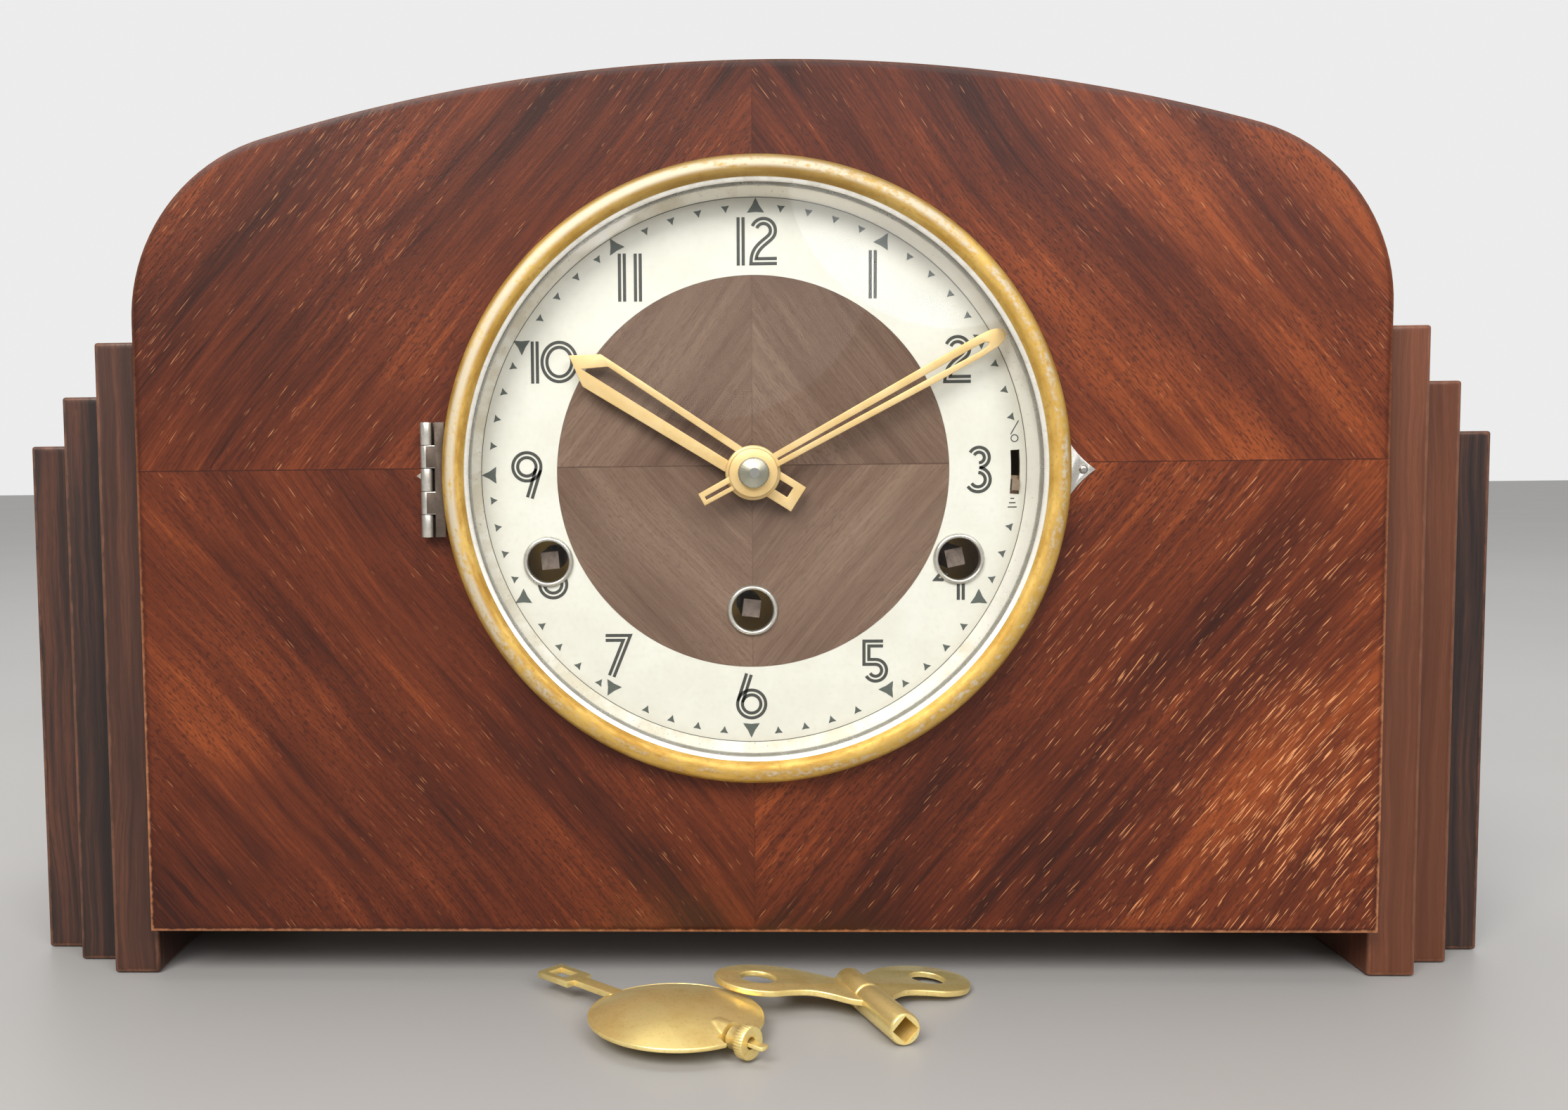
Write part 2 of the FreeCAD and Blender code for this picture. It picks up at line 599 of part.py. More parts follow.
def hands():
    """The minute hand stands at 61.7 degrees and the hour hand at 302 degrees, about ten past ten."""
    minute = [rail((-1.1, 3.5), (-2.1, 60.5), 1.1), rail((1.1, 3.5), (2.1, 60.5), 1.1),
              [Vector(-2.65, 59.8, 0), Vector(2.65, 59.8, 0), Vector(1.9, 63.4, 0), Vector(0.6, 64.6, 0),
               Vector(-0.9, 64.4, 0), Vector(-2.1, 63.0, 0)],
              rail((-1.6, -3), (-2.2, -14.6), 1.2), rail((1.6, -3), (2.2, -14.6), 1.2),
              rail((-2.8, -14.2), (2.8, -14.2), 1.2)]
    hand("minute_hand", minute, 0.6, 5.75, 1.9, -1.6, -2.2, 1.4, 61.7)
    hour = [rail((-2.3, 4), (-3.6, 44.0), 2.6), rail((3.0, 4), (3.6, 44.0), 1.5),
            [Vector(-6.3, 41.6, 0), Vector(5.9, 41.6, 0), Vector(0.3, 50.4, 0)],
            rail((-2.6, -3.5), (-2.6, -13.0), 1.4), rail((2.6, -3.5), (2.6, -13.0), 1.4),
            rail((-3.3, -12.4), (3.3, -12.4), 1.4)]
    hand("hour_hand", hour, 0.6, 6.45, 3.2, 0.6, 0.0, 1.8, 302.0)
    nut = turned((("1.2", "-2.3"), ("3.65", "-2.3"), ("3.65", "-3.3"), ("2.0", "-5.4"), ("1.7", "-6.5"),
                  ("0", "-6.5"), ("0", "-6.2"), ("1.2", "-6.2")), ("0", "0", "dial_height"))
    notches = [rod("0.45", "3", (str(round(3.75 * math.cos(turn * math.pi / 8), 3)), "-4.6",
                                 f"dial_height + {round(3.75 * math.sin(turn * math.pi / 8), 3)}"))
               for turn in range(16)]
    subpart("hand_nut", cut(nut, *notches))


# ---- movement ----

MINUTE_UP = "motion_module * 24"


def pivot_holes():
    """Holes through both plates for the arbors that run in them."""
    start = "front_plate_depth - 1"
    length = "back_plate_depth + plate_thick - front_plate_depth + 2"
    holes = [rod("3.05", length, (x, start, z)) for x, z in WINDING]
    return holes, rod("2.6", "6", ("0", start, "dial_height"))


def movement_frame():
    across, tall = "2 * plate_half", "plate_high - plate_low"
    winding, centre = pivot_holes()
    front = box(across, "plate_thick", tall, ("-plate_half", "front_plate_depth", "plate_low"))
    plate = cut(rounded(front, 4, Vector(0, 1, 0)), *winding, centre)
    stud = rod("1.2", "front_plate_depth - 14.5", ("0", "15", f"dial_height + {MINUTE_UP}"))
    subpart("movement_front_plate", fuse(plate, stud))
    back = box(across, "plate_thick", tall, ("-plate_half", "back_plate_depth", "plate_low"))
    back_pivot = rod("1.55", "6", ("0", "back_plate_depth - 1", "dial_height"))
    hammer_hole = rod("1.5", "6", ("hammer_x", "back_plate_depth - 1", "hammer_height + 6"))
    winding, centre = pivot_holes()
    subpart("movement_back_plate", cut(rounded(back, 4, Vector(0, 1, 0)), *winding, back_pivot, hammer_hole))
    gap = "front_plate_depth + plate_thick"
    pillars = [rod("post_radius + 1", f"back_plate_depth - ({gap})", (x, gap, z))
               for x in ("8 - plate_half", "plate_half - 8") for z in ("plate_low + 8", "plate_high - 8")]
    subpart("plate_pillars", group(*pillars))


def going_train():
    """The parts that turn with the hands: centre arbor, minute wheel, hour wheel and time barrel."""
    middle = "dial_height"
    arbor_start = "front_plate_depth + 2"
    arbor = rod("1.5", f"back_plate_depth + plate_thick - ({arbor_start})", ("0", arbor_start, middle))
    tube_end = rod("pipe_radius", "30.2", ("0", "-0.8", middle))
    square_end = rod("1.85", "1.6", ("0", "-2.2", middle))
    thread = rod("1.15", "4.2", ("0", "-6.1", middle))
    cannon = gear(12, "motion_module", 90, 2.6, None, ("0", "19.4", middle))
    pinion = gear(12, "train_module", 270, 5.0, None, ("0", "28.4", middle))
    subpart("centre_arbor", fuse(arbor, tube_end, square_end, thread, cannon, pinion))
    up = f"dial_height + {MINUTE_UP}"
    wheel = gear(36, "motion_module", 270 + 5, 1.4, None, ("0", "20", up))
    small = gear(10, "hour_module", 270 + 18, 3.0, None, ("0", "15.4", up))
    hub = rod("2.4", "4.8", ("0", "17.6", up))
    stud_room = rod("1.25", "12", ("0", "14", up))
    subpart("minute_wheel", cut(fuse(wheel, small, hub), stud_room))
    hour = gear(40, "hour_module", 90, 1.4, None, ("0", "16.2", middle))
    pipe = rod("3.2", "16.6", ("0", "1", middle))
    nose = rod("3.18", "1.4", ("0", "0", middle))
    subpart("hour_wheel", cut(fuse(hour, pipe, nose), rod("pipe_radius + 0.06", "24", ("0", "-2", middle))))


def barrel(name, centre, drum_depth, wheel):
    """A spring barrel: a closed drum round its winding arbor, with a toothed rim at one end."""
    x, z = centre
    drum = cut(rod("drum_radius", "18", (x, drum_depth, z)),
               rod("drum_radius - 1.2", "15", (x, f"{drum_depth} + 1.5", z)))
    subpart(name, cut(fuse(drum, wheel), rod("3.1", "40", (x, "front_plate_depth", z))))


def barrels_and_arbors():
    left, low, right = WINDING
    great = gear(84, "train_module", 90 + 180 / 84, 2.0, None, (low[0], "30", low[1]))
    barrel("time_barrel", low, "32", great)
    for name, centre in (("strike_barrel", left), ("chime_barrel", right)):
        rim = gear(72, "train_module", 0, 2.0, None, (centre[0], "53", centre[1]))
        barrel(name, centre, "35", rim)
    squares = (("strike_winding_arbor", left, 40.0), ("time_winding_arbor", low, 52.0),
               ("chime_winding_arbor", right, 33.0))
    for name, (x, z), twist in squares:
        turn = ALONG["y"].multiply(Rotation(Vector(0, 0, 1), twist))
        end = rod("square_side / sqrt(2)", "front_plate_depth - 9", (x, "9", z), turn, sides=4)
        shaft = rod("3", "back_plate_depth + plate_thick - front_plate_depth", (x, "front_plate_depth", z))
        ratchet = gear(30, "0.4", 0, 1.2, None, (x, "front_plate_depth + plate_thick + 0.4", z))
        subpart(name, fuse(end, shaft, ratchet))


def pendulum_hanger():
    back = "back_plate_depth + plate_thick"
    arm = box("9", "10", "5", ("-4.5", back, "sway_height + 2"))
    foot = box("16", "1.6", "12", ("-8", back, "sway_height"))
    slit = box("1", "6", "6", ("-0.5", f"{back} + 5", "sway_height + 1.5"))
    subpart("suspension_bracket", cut(fuse(arm, foot), slit))
    spring = box("0.3", "3", "9", ("-0.15", f"{back} + 5.6", "sway_height - 6"))
    bar = box("2.4", "1.2", "58", ("-1.2", f"{back} + 6.5", "sway_height - 63"))
    clamp = box("5", "3.4", "5", ("-2.5", f"{back} + 5.4", "sway_height - 8"))
    cross = box("5", "4.6", "1.6", ("-2.5", f"{back} + 4.8", "sway_height - 62"))
    pin = rod("0.8", "4.6", ("0", f"{back} + 5", "sway_height"))
    subpart("pendulum_leader", fuse(spring, bar, clamp, cross, pin))


# ---- chime ----

def chime_parts():
    floor = "panel_bottom + board_thick"
    block = box("20", "40", "26", ("-120", "rod_first - 6.5", floor))
    subpart("rod_block", rounded(block, 3, Vector(0, 0, 1)))
    rods, depths = [], [f"rod_first + {number} * rod_pitch" for number in range(4)]
    for number, depth in enumerate(depths):
        rods.append(rod("rod_radius", f"{150 - 7 * number}", ("-100", depth, "rod_height"), "x"))
    subpart("chime_rods", group(*rods))
    height = "hammer_height + 6"
    subpart("hammer_arbor", rod("1.5", "60", ("hammer_x", "back_plate_depth", height)))
    for number, depth in enumerate(depths, start=1):
        hub = rod("3.4", "4", ("hammer_x", f"{depth} - 2", height))
        arm_start = ("hammer_x - hammer_reach", f"{depth} - 1", f"{height} - 1.5")
        arm = box("hammer_reach - 2", "2", "3", arm_start)
        head = rod("3.2", "16", ("hammer_x - hammer_reach", depth, "rod_height + rod_radius + 0.8"), "z")
        cap = rod("2.6", "5", ("hammer_x - hammer_reach", depth, "rod_height + rod_radius + 16"), "z")
        bore = rod("1.56", "5", ("hammer_x", f"{depth} - 2.5", height))
        subpart(f"hammer_{number}", cut(fuse(hub, arm, head, cap), bore))


# ---- loose pieces ----

def loose_pendulum():
    """The bob and its rod lie flat on the table, with the rating nut below the bob's edge."""
    radius, half, edge = worth("bob_radius"), worth("bob_half"), 0.4
    sag = half - edge
    dome = (radius ** 2 + sag ** 2) / (2 * sag)
    lens = Part.makeSphere(dome, Vector(0, 0, half - dome))
    lens = lens.common(Part.makeSphere(dome, Vector(0, 0, dome - half)))
    lens = lens.common(Part.makeCylinder(radius, 2 * half, Vector(0, 0, -half)))
    channel = Part.makeBox(44, 3.6, 1.6, Vector(-22, -1.8, -0.8))
    notch = Part.makeBox(6, 9.4, 12, Vector(radius - 3.2, -4.7, -6))
    spot = ("bob_x", "-bob_fore", "bob_half")
    turn = Rotation(Vector(0, 0, 1), worth("bob_turn"))
    subpart("pendulum_bob", made("bob", lens.cut(channel).cut(notch), spot, turn))
    strip_bar = Part.makeBox(47.1, 3.4, 1.4, Vector(-31, -1.7, -0.7))
    frame = Part.makeBox(10.5, 7.6, 1.6, Vector(-41.3, -3.8, -0.8)).cut(
        Part.makeBox(5.6, 4.0, 3, Vector(-39.2, -2.0, -1.5)))
    threaded = Part.makeCylinder(1.1, 9.6, Vector(15.9, 0, 0), Vector(1, 0, 0))
    subpart("pendulum_rod", made("rod", strip_bar.fuse([frame, threaded]).removeSplitter(), spot, turn))
    nut = Part.makeCylinder(3.6, 2.2, Vector(19.4, 0, 0), Vector(1, 0, 0))
    sleeve = Part.makeCylinder(2.4, 3.0, Vector(16.4, 0, 0), Vector(1, 0, 0))
    nut = nut.fuse(sleeve).cut(Part.makeCylinder(1.16, 9, Vector(15, 0, 0), Vector(1, 0, 0)))
    subpart("rating_nut", made("nut", nut.removeSplitter(), spot, turn))


def winding_key():
    """A double-wing key: a flat plate of two lobes brazed to a barrel with a square hole."""
    thick = worth("key_thick")
    under = 0.5 - thick / 2
    lobe = [(2.0, -1.2), (6.5, 2.6), (10.5, 5.8), (15.5, 7.9), (21.5, 8.4), (26.8, 6.8), (30.4, 3.2), (31.3, -0.8),
            (30.0, -5.2), (26.5, -8.9), (21.5, -10.2), (16.5, -9.3), (11.5, -9.2), (7.5, -11.8), (2.0, -16.2)]
    right = [Vector(x, y, 0) for x, y in lobe]
    left = [Vector(-p.x, p.y, 0) for p in right]

    def wing(points):
        curve = Part.BSplineCurve()
        curve.interpolate(points)
        wire = Part.Wire([curve.toShape(), Part.makeLine(points[-1], points[0])])
        face = Part.Face(wire)
        return face.extrude(Vector(0, 0, thick)).translate(Vector(0, 0, under))

    radius = worth("key_radius")
    front = Vector(0, -1, 0)
    length, bored, groove_start = 30.3, 16, Vector(0, -11.5, 0)
    barrel_solid = Part.makeCylinder(radius, length, Vector(0, 0, 0), front)
    plate = wing(right).fuse(wing(left)).fuse(Part.makeBox(4.2, 15, thick, Vector(-2.1, -16.2, under)))
    for x in (-21.1, 21.1):
        plate = plate.cut(Part.makeCylinder(4.1, 6, Vector(x, -0.4, -3)))
    side = worth("square_side") + 0.1
    hole = Part.makeBox(side, bored + 1, side, Vector(-side / 2, -length - 1, -side / 2))
    hole.rotate(Vector(0, 0, 0), Vector(0, 1, 0), 38)
    groove = Part.makeCylinder(radius + 1, 0.8, groove_start, front).cut(
        Part.makeCylinder(radius - 0.35, 0.8, groove_start, front))
    key = plate.fuse(barrel_solid).cut(hole).cut(groove).removeSplitter()
    turn = Rotation(Vector(0, 0, 1), worth("key_turn")).multiply(Rotation(Vector(0, 1, 0), worth("key_roll")))
    subpart("winding_key", made("key", key, ("key_x", "-key_fore", "key_radius"), turn))


# ---- build, check and write ----

for build in (wooden_case, columns, back_of_case, seat_rails, dial_parts, chime_lever, bezel_parts,
              bezel_hinge, hands, movement_frame, going_train, barrels_and_arbors, pendulum_hanger,
              chime_parts, loose_pendulum, winding_key):
    build()
doc.recompute()

for thing in doc.Objects:
    if "Invalid" in thing.State or "Error" in thing.State:
        raise RuntimeError(f"{thing.Label} did not recompute: {thing.State}")
os.makedirs("parts", exist_ok=True)
for thing in subparts:
    if thing.Shape.isNull() or not thing.Shape.isValid() or not thing.Shape.Solids:
        raise RuntimeError(f"{thing.Label} has no valid solid")
    thing.Shape.exportStep(f"parts/{thing.Label}.step")
    print(f"{thing.Label}: {len(thing.Shape.Solids)} solid(s), {thing.Shape.Volume:.0f} mm3")
print(len(subparts), "sub-parts")
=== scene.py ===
import math

import bmesh
import bpy
from mathutils import Matrix, Vector


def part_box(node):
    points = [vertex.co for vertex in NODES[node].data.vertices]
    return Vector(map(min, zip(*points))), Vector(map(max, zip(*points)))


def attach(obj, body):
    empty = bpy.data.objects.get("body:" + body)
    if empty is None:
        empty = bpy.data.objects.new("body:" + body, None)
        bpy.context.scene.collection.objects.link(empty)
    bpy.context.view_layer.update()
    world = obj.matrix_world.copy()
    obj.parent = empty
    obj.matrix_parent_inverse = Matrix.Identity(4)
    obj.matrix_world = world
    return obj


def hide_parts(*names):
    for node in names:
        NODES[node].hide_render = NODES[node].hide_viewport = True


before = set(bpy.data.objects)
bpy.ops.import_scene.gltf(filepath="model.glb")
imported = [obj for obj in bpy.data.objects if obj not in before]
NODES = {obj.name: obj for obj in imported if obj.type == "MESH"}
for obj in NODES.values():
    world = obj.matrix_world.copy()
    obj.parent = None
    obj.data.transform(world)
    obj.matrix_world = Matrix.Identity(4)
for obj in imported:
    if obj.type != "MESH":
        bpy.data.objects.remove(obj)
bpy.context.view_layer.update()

# Lengths are in millimetres until at() turns them into the frame's metres. A place is
# (x, depth behind the front of the panel, height above the table).
MM = 0.001


def middle(node):
    """The x and height of a CAD node's middle."""
    low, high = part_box(node)
    return (low.x + high.x) / 2 / MM, (low.z + high.z) / 2 / MM


PANEL_LOW, PANEL_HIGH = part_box("front_veneers")
FRONT = PANEL_LOW.y / MM
PANEL_HALF = PANEL_HIGH.x / MM
PANEL_BOTTOM = PANEL_LOW.z / MM
PANEL_TOP = PANEL_HIGH.z / MM
ARCH_RADIUS, SHOULDER_RADIUS = 415.0, 43.0
VENEER = 0.78
# the four leaves meet at this height, with their grain at this angle from level
SEAM = 122.4
GRAIN_LEAN = math.radians(51)
DIAL_Z = middle("bezel_frame")[1]
DIAL_HOLE = 69.0
RING_DEPTH = 4.0


def at(x, depth, z):
    return Vector((x, FRONT + depth, z)) * MM


def tone(red, green, blue):
    """A linear colour from screen values out of 255."""
    def straight(value):
        value /= 255
        return value / 12.92 if value <= 0.04045 else ((value + 0.055) / 1.055) ** 2.4
    return (straight(red), straight(green), straight(blue), 1.0)


# ---- materials ----

class Value:
    """A number or colour inside a material. A sum written with it makes the nodes for it."""

    def __init__(self, look, socket):
        self.look, self.socket = look, socket

    def span(self, low, high, smooth=False):
        """The value's way from low to high, as a number from 0 to 1."""
        node = self.look.nodes.new("ShaderNodeMapRange")
        node.interpolation_type = "SMOOTHSTEP" if smooth else "LINEAR"
        node.inputs["From Min"].default_value = low
        node.inputs["From Max"].default_value = high
        self.look.put(node.inputs["Value"], self)
        return Value(self.look, node.outputs["Result"])


for sign, how in (("add", "ADD"), ("sub", "SUBTRACT"), ("mul", "MULTIPLY"), ("pow", "POWER"),
                  ("gt", "GREATER_THAN"), ("lt", "LESS_THAN"), ("abs", "ABSOLUTE")):
    setattr(Value, f"__{sign}__", lambda self, *others, how=how: self.look.maths(how, self, *others))


class Look:
    """A procedural material, made node by node. Its lengths are in millimetres."""

    def __init__(self, name):
        self.material = bpy.data.materials.new(name)
        self.material.use_nodes = True
        self.nodes = self.material.node_tree.nodes
        self.links = self.material.node_tree.links
        self.shader = self.nodes["Principled BSDF"]

    def put(self, socket, value):
        """Links or sets a socket. A colour is given as screen values out of 255."""
        if isinstance(value, Value):
            self.links.new(value.socket, socket)
        else:
            socket.default_value = tone(*value) if isinstance(value, tuple) else value

    def maths(self, how, *values):
        node = self.nodes.new("ShaderNodeMath")
        node.operation = how
        for socket, value in zip(node.inputs, values):
            self.put(socket, value)
        return Value(self, node.outputs[0])

    def place(self):
        """The x, y and z of a point in millimetres."""
        coordinates = self.nodes.new("ShaderNodeTexCoord")
        scale = self.nodes.new("ShaderNodeVectorMath")
        scale.operation = "SCALE"
        scale.inputs["Scale"].default_value = 1 / MM
        self.links.new(coordinates.outputs["Object"], scale.inputs[0])
        split = self.nodes.new("ShaderNodeSeparateXYZ")
        self.links.new(scale.outputs[0], split.inputs[0])
        return [Value(self, socket) for socket in split.outputs]

    def noise(self, x, y, z=0.0, detail=2.0, rough=0.5):
        join = self.nodes.new("ShaderNodeCombineXYZ")
        for socket, value in zip(join.inputs, (x, y, z)):
            self.put(socket, value)
        node = self.nodes.new("ShaderNodeTexNoise")
        node.inputs["Scale"].default_value = 1.0
        node.inputs["Detail"].default_value = detail
        node.inputs["Roughness"].default_value = rough
        self.links.new(join.outputs[0], node.inputs["Vector"])
        return Value(self, node.outputs[0])

    def ramp(self, value, *stops):
        node = self.nodes.new("ShaderNodeValToRGB")
        elements = node.color_ramp.elements
        while len(elements) < len(stops):
            elements.new(0.5)
        for element, (spot, colour) in zip(elements, stops):
            element.position = spot
            element.color = tone(*colour)
        self.put(node.inputs[0], value)
        return Value(self, node.outputs[0])

    def mix(self, share, first, second, how="MIX"):
        """From the first colour to the second by this share."""
        node = self.nodes.new("ShaderNodeMix")
        node.data_type = "RGBA"
        node.blend_type = how
        for index, value in ((0, share), (6, first), (7, second)):
            self.put(node.inputs[index], value)
        return Value(self, node.outputs[2])

    def attribute(self, name):
        node = self.nodes.new("ShaderNodeAttribute")
        node.attribute_name = name
        return Value(self, node.outputs["Fac"])

    def relief(self, height, deep):
        """Bump from a height of 0 to 1 that is this many millimetres deep."""
        node = self.nodes.new("ShaderNodeBump")
        node.inputs["Distance"].default_value = deep * MM
        self.put(node.inputs["Height"], height)
        self.links.new(node.outputs[0], self.shader.inputs["Normal"])

    def finish(self, colour, rough, metallic=0.0, **more):
        self.put(self.shader.inputs["Base Color"], colour)
        self.put(self.shader.inputs["Roughness"], rough)
        self.shader.inputs["Metallic"].default_value = metallic
        for name, value in more.items():
            socket = name.replace("_", " ").title().replace("Ior", "IOR")
            self.shader.inputs[socket].default_value = value
        return self.material


def quartered_veneer(name, shades, fleck_tone, figure, flecks, rough, wear=None):
    """Four leaves of striped mahogany whose grain meets in a diamond round the dial."""
    look = Look(name)
    x, _, z = look.place()
    side = abs(x)
    above = z - SEAM
    rise = abs(above)
    leaf = (x > 0.0) * 0.42 + (above > 0.0) * 0.77
    across = side * math.sin(GRAIN_LEAN) + rise * math.cos(GRAIN_LEAN)
    along = side * math.cos(GRAIN_LEAN) - rise * math.sin(GRAIN_LEAN)
    drift = look.noise(across * 0.012, along * 0.009, leaf, 1.0)
    run = across + (drift - 0.5) * 13.0
    bands = look.noise(run * 0.06, along * 0.007, leaf, 3.0)
    streaks = look.noise(run * 0.42, along * 0.02, leaf, 4.0, 0.6)
    fibres = look.noise(run * 2.3, along * 0.07, leaf, 2.0, 0.6)
    pores = look.noise(run * 2.4, along * 0.62, leaf, 1.0)
    patches = look.noise(x * 0.021, z * 0.025, leaf, 2.0)
    shade = (bands - 0.5) * (1.25 * figure) + 0.5
    shade += (streaks - 0.5) * (0.85 * figure)
    shade += (fibres - 0.5) * (0.7 * figure)
    shade += (patches - 0.5) * (0.7 * figure)
    # a little lighter to the right, and darker along the foot, which is painted shade where the light
    # falls off low down
    shade += x.span(40.0, 140.0) * 0.22 - z.span(60.0, 12.0) * 0.13
    colour = look.ramp(shade, *zip((0.12, 0.36, 0.6, 0.92), shades))
    dots = pores.span(0.53, 0.66) * (patches.span(0.42, 0.6) * 0.65 + 0.35)
    colour = look.mix(dots * (0.6 * min(1.0, figure)), colour, shades[0])
    # short light dashes of open grain, thickest in the lower right and along the top
    dashes = look.noise(run * 3.9, along * 0.18, leaf, 1.0, 0.4)
    clumps = look.noise(x * 0.028, z * 0.03, 4.2, 2.0)
    right_low = x.span(20.0, 120.0) * above.span(10.0, -70.0)
    top_edges = side.span(60.0, 130.0) * above.span(10.0, 60.0)
    crowd = clumps * 0.22 + right_low * 0.085 + top_edges * 0.045
    shown = (dashes + crowd).span(0.835, 0.9)
    colour = look.mix(shown * (right_low * 0.4 + 0.45) * flecks, colour, fleck_tone)
    # the leaves' joints are hair lines
    ragged = look.noise(x * 0.3, z * 0.3, 2.0) * 0.3
    joint = look.maths("MAXIMUM", (side < ragged) * 0.3, (rise < ragged) * 0.75)
    colour = look.mix(joint, colour, shades[0])
    if wear:
        # dusky towards the edge, which is rubbed bare low down
        edge = look.attribute("edge")
        chips = look.noise(x * 0.5, z * 0.5, 3.0, 3.0, 0.7)
        rubbed = (edge + chips * 0.8).span(1.12, 1.5) * (z.span(150.0, 40.0) * 0.75 + 0.12)
        colour = look.mix(edge.span(0.0, 0.8, smooth=True) * 0.55, colour, shades[0])
        colour = look.mix(rubbed, colour, wear)
    look.relief(fibres * 0.5 - dots * 0.35 + streaks * 0.2, 0.05)
    return look.finish(colour, fibres * 0.12 + shown * 0.1 + rough,
                       coat_weight=0.06, coat_roughness=0.25, specular_ior_level=0.22)


def straight_wood(name, shades, way, rough=0.42, wear=None, warm=None, gloss=0.1):
    """Plain wood whose grain runs along one axis."""
    look = Look(name)
    x, y, z = look.place()
    places = {"x": x, "y": y, "z": z}
    along = places.pop(way)
    first, second = places.values()
    first += (look.noise(along * 0.018, first * 0.03, 1.0) - 0.5) * 7.0
    bands = look.noise(first * 0.16, along * 0.008, second * 0.16, 3.0)
    streaks = look.noise(first * 0.9, along * 0.016, second * 0.9, 3.0, 0.6)
    pores = look.noise(first * 3.4, along * 0.2, second * 3.4, 2.0)
    shade = (bands - 0.5) * 1.4 + (streaks - 0.5) * 1.3 + (pores - 0.5) * 0.5 + 0.5
    colour = look.ramp(shade, *zip((0.15, 0.5, 0.88), shades))
    slits = pores.span(0.58, 0.68)
    colour = look.mix(slits * 0.45, colour, shades[0])
    if warm:
        # the inner two steps on the right are the reddest
        right = x.span(140.0, 145.0) * x.span(170.0, 167.0)
        left = x.span(-158.0, -155.0) * x.span(-100.0, -120.0)
        colour = look.mix(right + left * 0.25, colour, warm, "ADD")
    if wear:
        chips = look.noise(along * 0.22, first * 0.6, second * 0.6, 3.0, 0.7)
        rubbed = (look.attribute("edge") + chips).span(1.22, 1.75)
        colour = look.mix(rubbed * 0.6, colour, wear)
    look.relief(streaks * 0.4 - slits * 0.4, 0.06)
    return look.finish(colour, pores * 0.15 + rough, coat_weight=gloss, coat_roughness=0.25,
                       specular_ior_level=0.35)


def metal(name, base, stain, rough=0.3, spread=0.08, amount=0.5, relief=0.01, metallic=1.0, rolled=False):
    """Metal with cloudy tarnish, small spots and fine scratches, which run along X on rolled sheet."""
    look = Look(name)
    x, y, z = look.place()
    clouds = look.noise(x * spread, y * spread, z * spread, 4.0, 0.6)
    spots = look.noise(x * 1.3, y * 1.3, z * 1.3, 2.0)
    if rolled:
        scratches = look.noise(x * 0.3, y * 5.0, z * 5.0, 2.0)
    else:
        scratches = look.noise(x * 2.6, y * 2.6, z * 2.6, 5.0, 0.7)
    share = clouds.span(0.42, 0.66) * 0.75 + spots.span(0.56, 0.7) * 0.4
    look.relief(scratches, relief)
    return look.finish(look.mix(share * amount, base, stain),
                       scratches * 0.1 + share * 0.12 + (rough - 0.06), metallic)


def about_dial(look):
    """The x and z of a point from the dial's centre, its radius and the angle round it."""
    x, _, z = look.place()
    z -= DIAL_Z
    radius = look.maths("SQRT", x * x + z * z)
    return x, z, radius, look.maths("ARCTAN2", x, z)


def gilt_bezel():
    """Worn gold lacquer: silvery where rubbed on the crown, brown at the top and lower left."""
    look = Look("bezel_gilt")
    x, z, radius, angle = about_dial(look)
    round_x = look.maths("SINE", angle) * 60.0
    round_z = look.maths("COSINE", angle) * 60.0
    clouds = look.noise(round_x * 0.1, round_z * 0.1, radius * 0.35, 4.0, 0.65)
    fine_marks = look.noise(round_x * 0.9, round_z * 0.9, radius * 1.2, 3.0, 0.6)
    crown = radius.span(68.2, 69.4, smooth=True) * radius.span(71.3, 70.2, smooth=True)
    upper_left = (z - x * 0.9).span(-40.0, 70.0)
    rubbed = crown * (clouds * 0.65 + fine_marks * 0.5 + upper_left * 0.16).span(0.56, 0.7)
    lower_left = (x + z).span(0.0, -80.0) * clouds.span(0.45, 0.62)
    colour = look.mix(clouds.span(0.35, 0.62), (200, 165, 88), (175, 136, 58))
    colour = look.mix(fine_marks.span(0.55, 0.72) * 0.5, colour, (156, 114, 52))
    colour = look.mix(lower_left * 0.55, colour, (160, 116, 42))
    colour = look.mix(z.span(52.0, 72.0) * 0.6, colour, (112, 92, 60))
    colour = look.mix(rubbed * 0.85, colour, (196, 187, 166))
    look.relief(fine_marks, 0.03)
    return look.finish(colour, fine_marks * 0.16 + rubbed * 0.08 + 0.46, 0.6)


def silvered_reflector():
    """The sloped silvered ring, with fine turning lines and stains that gather low on the left."""
    look = Look("reflector_silver")
    x, z, radius, angle = about_dial(look)
    lines = look.noise(radius * 6.0, angle * 1.2)
    clouds = look.noise(x * 0.09, z * 0.09, 1.0, 4.0, 0.65)
    specks = look.noise(x * 1.6, z * 1.6, 3.0, 3.0)
    left = (x * -1.0 - z * 0.45).span(-20.0, 60.0)
    stain = (clouds + left * 0.12).span(0.5, 0.68) * 0.7
    colour = look.mix(stain, (246, 243, 234), (214, 203, 178))
    colour = look.mix(specks.span(0.63, 0.72) * 0.4, colour, (128, 112, 92))
    look.relief(lines * 0.8 + specks * 0.3, 0.02)
    return look.finish(colour, stain * 0.15 + lines * 0.08 + 0.32, 0.4)


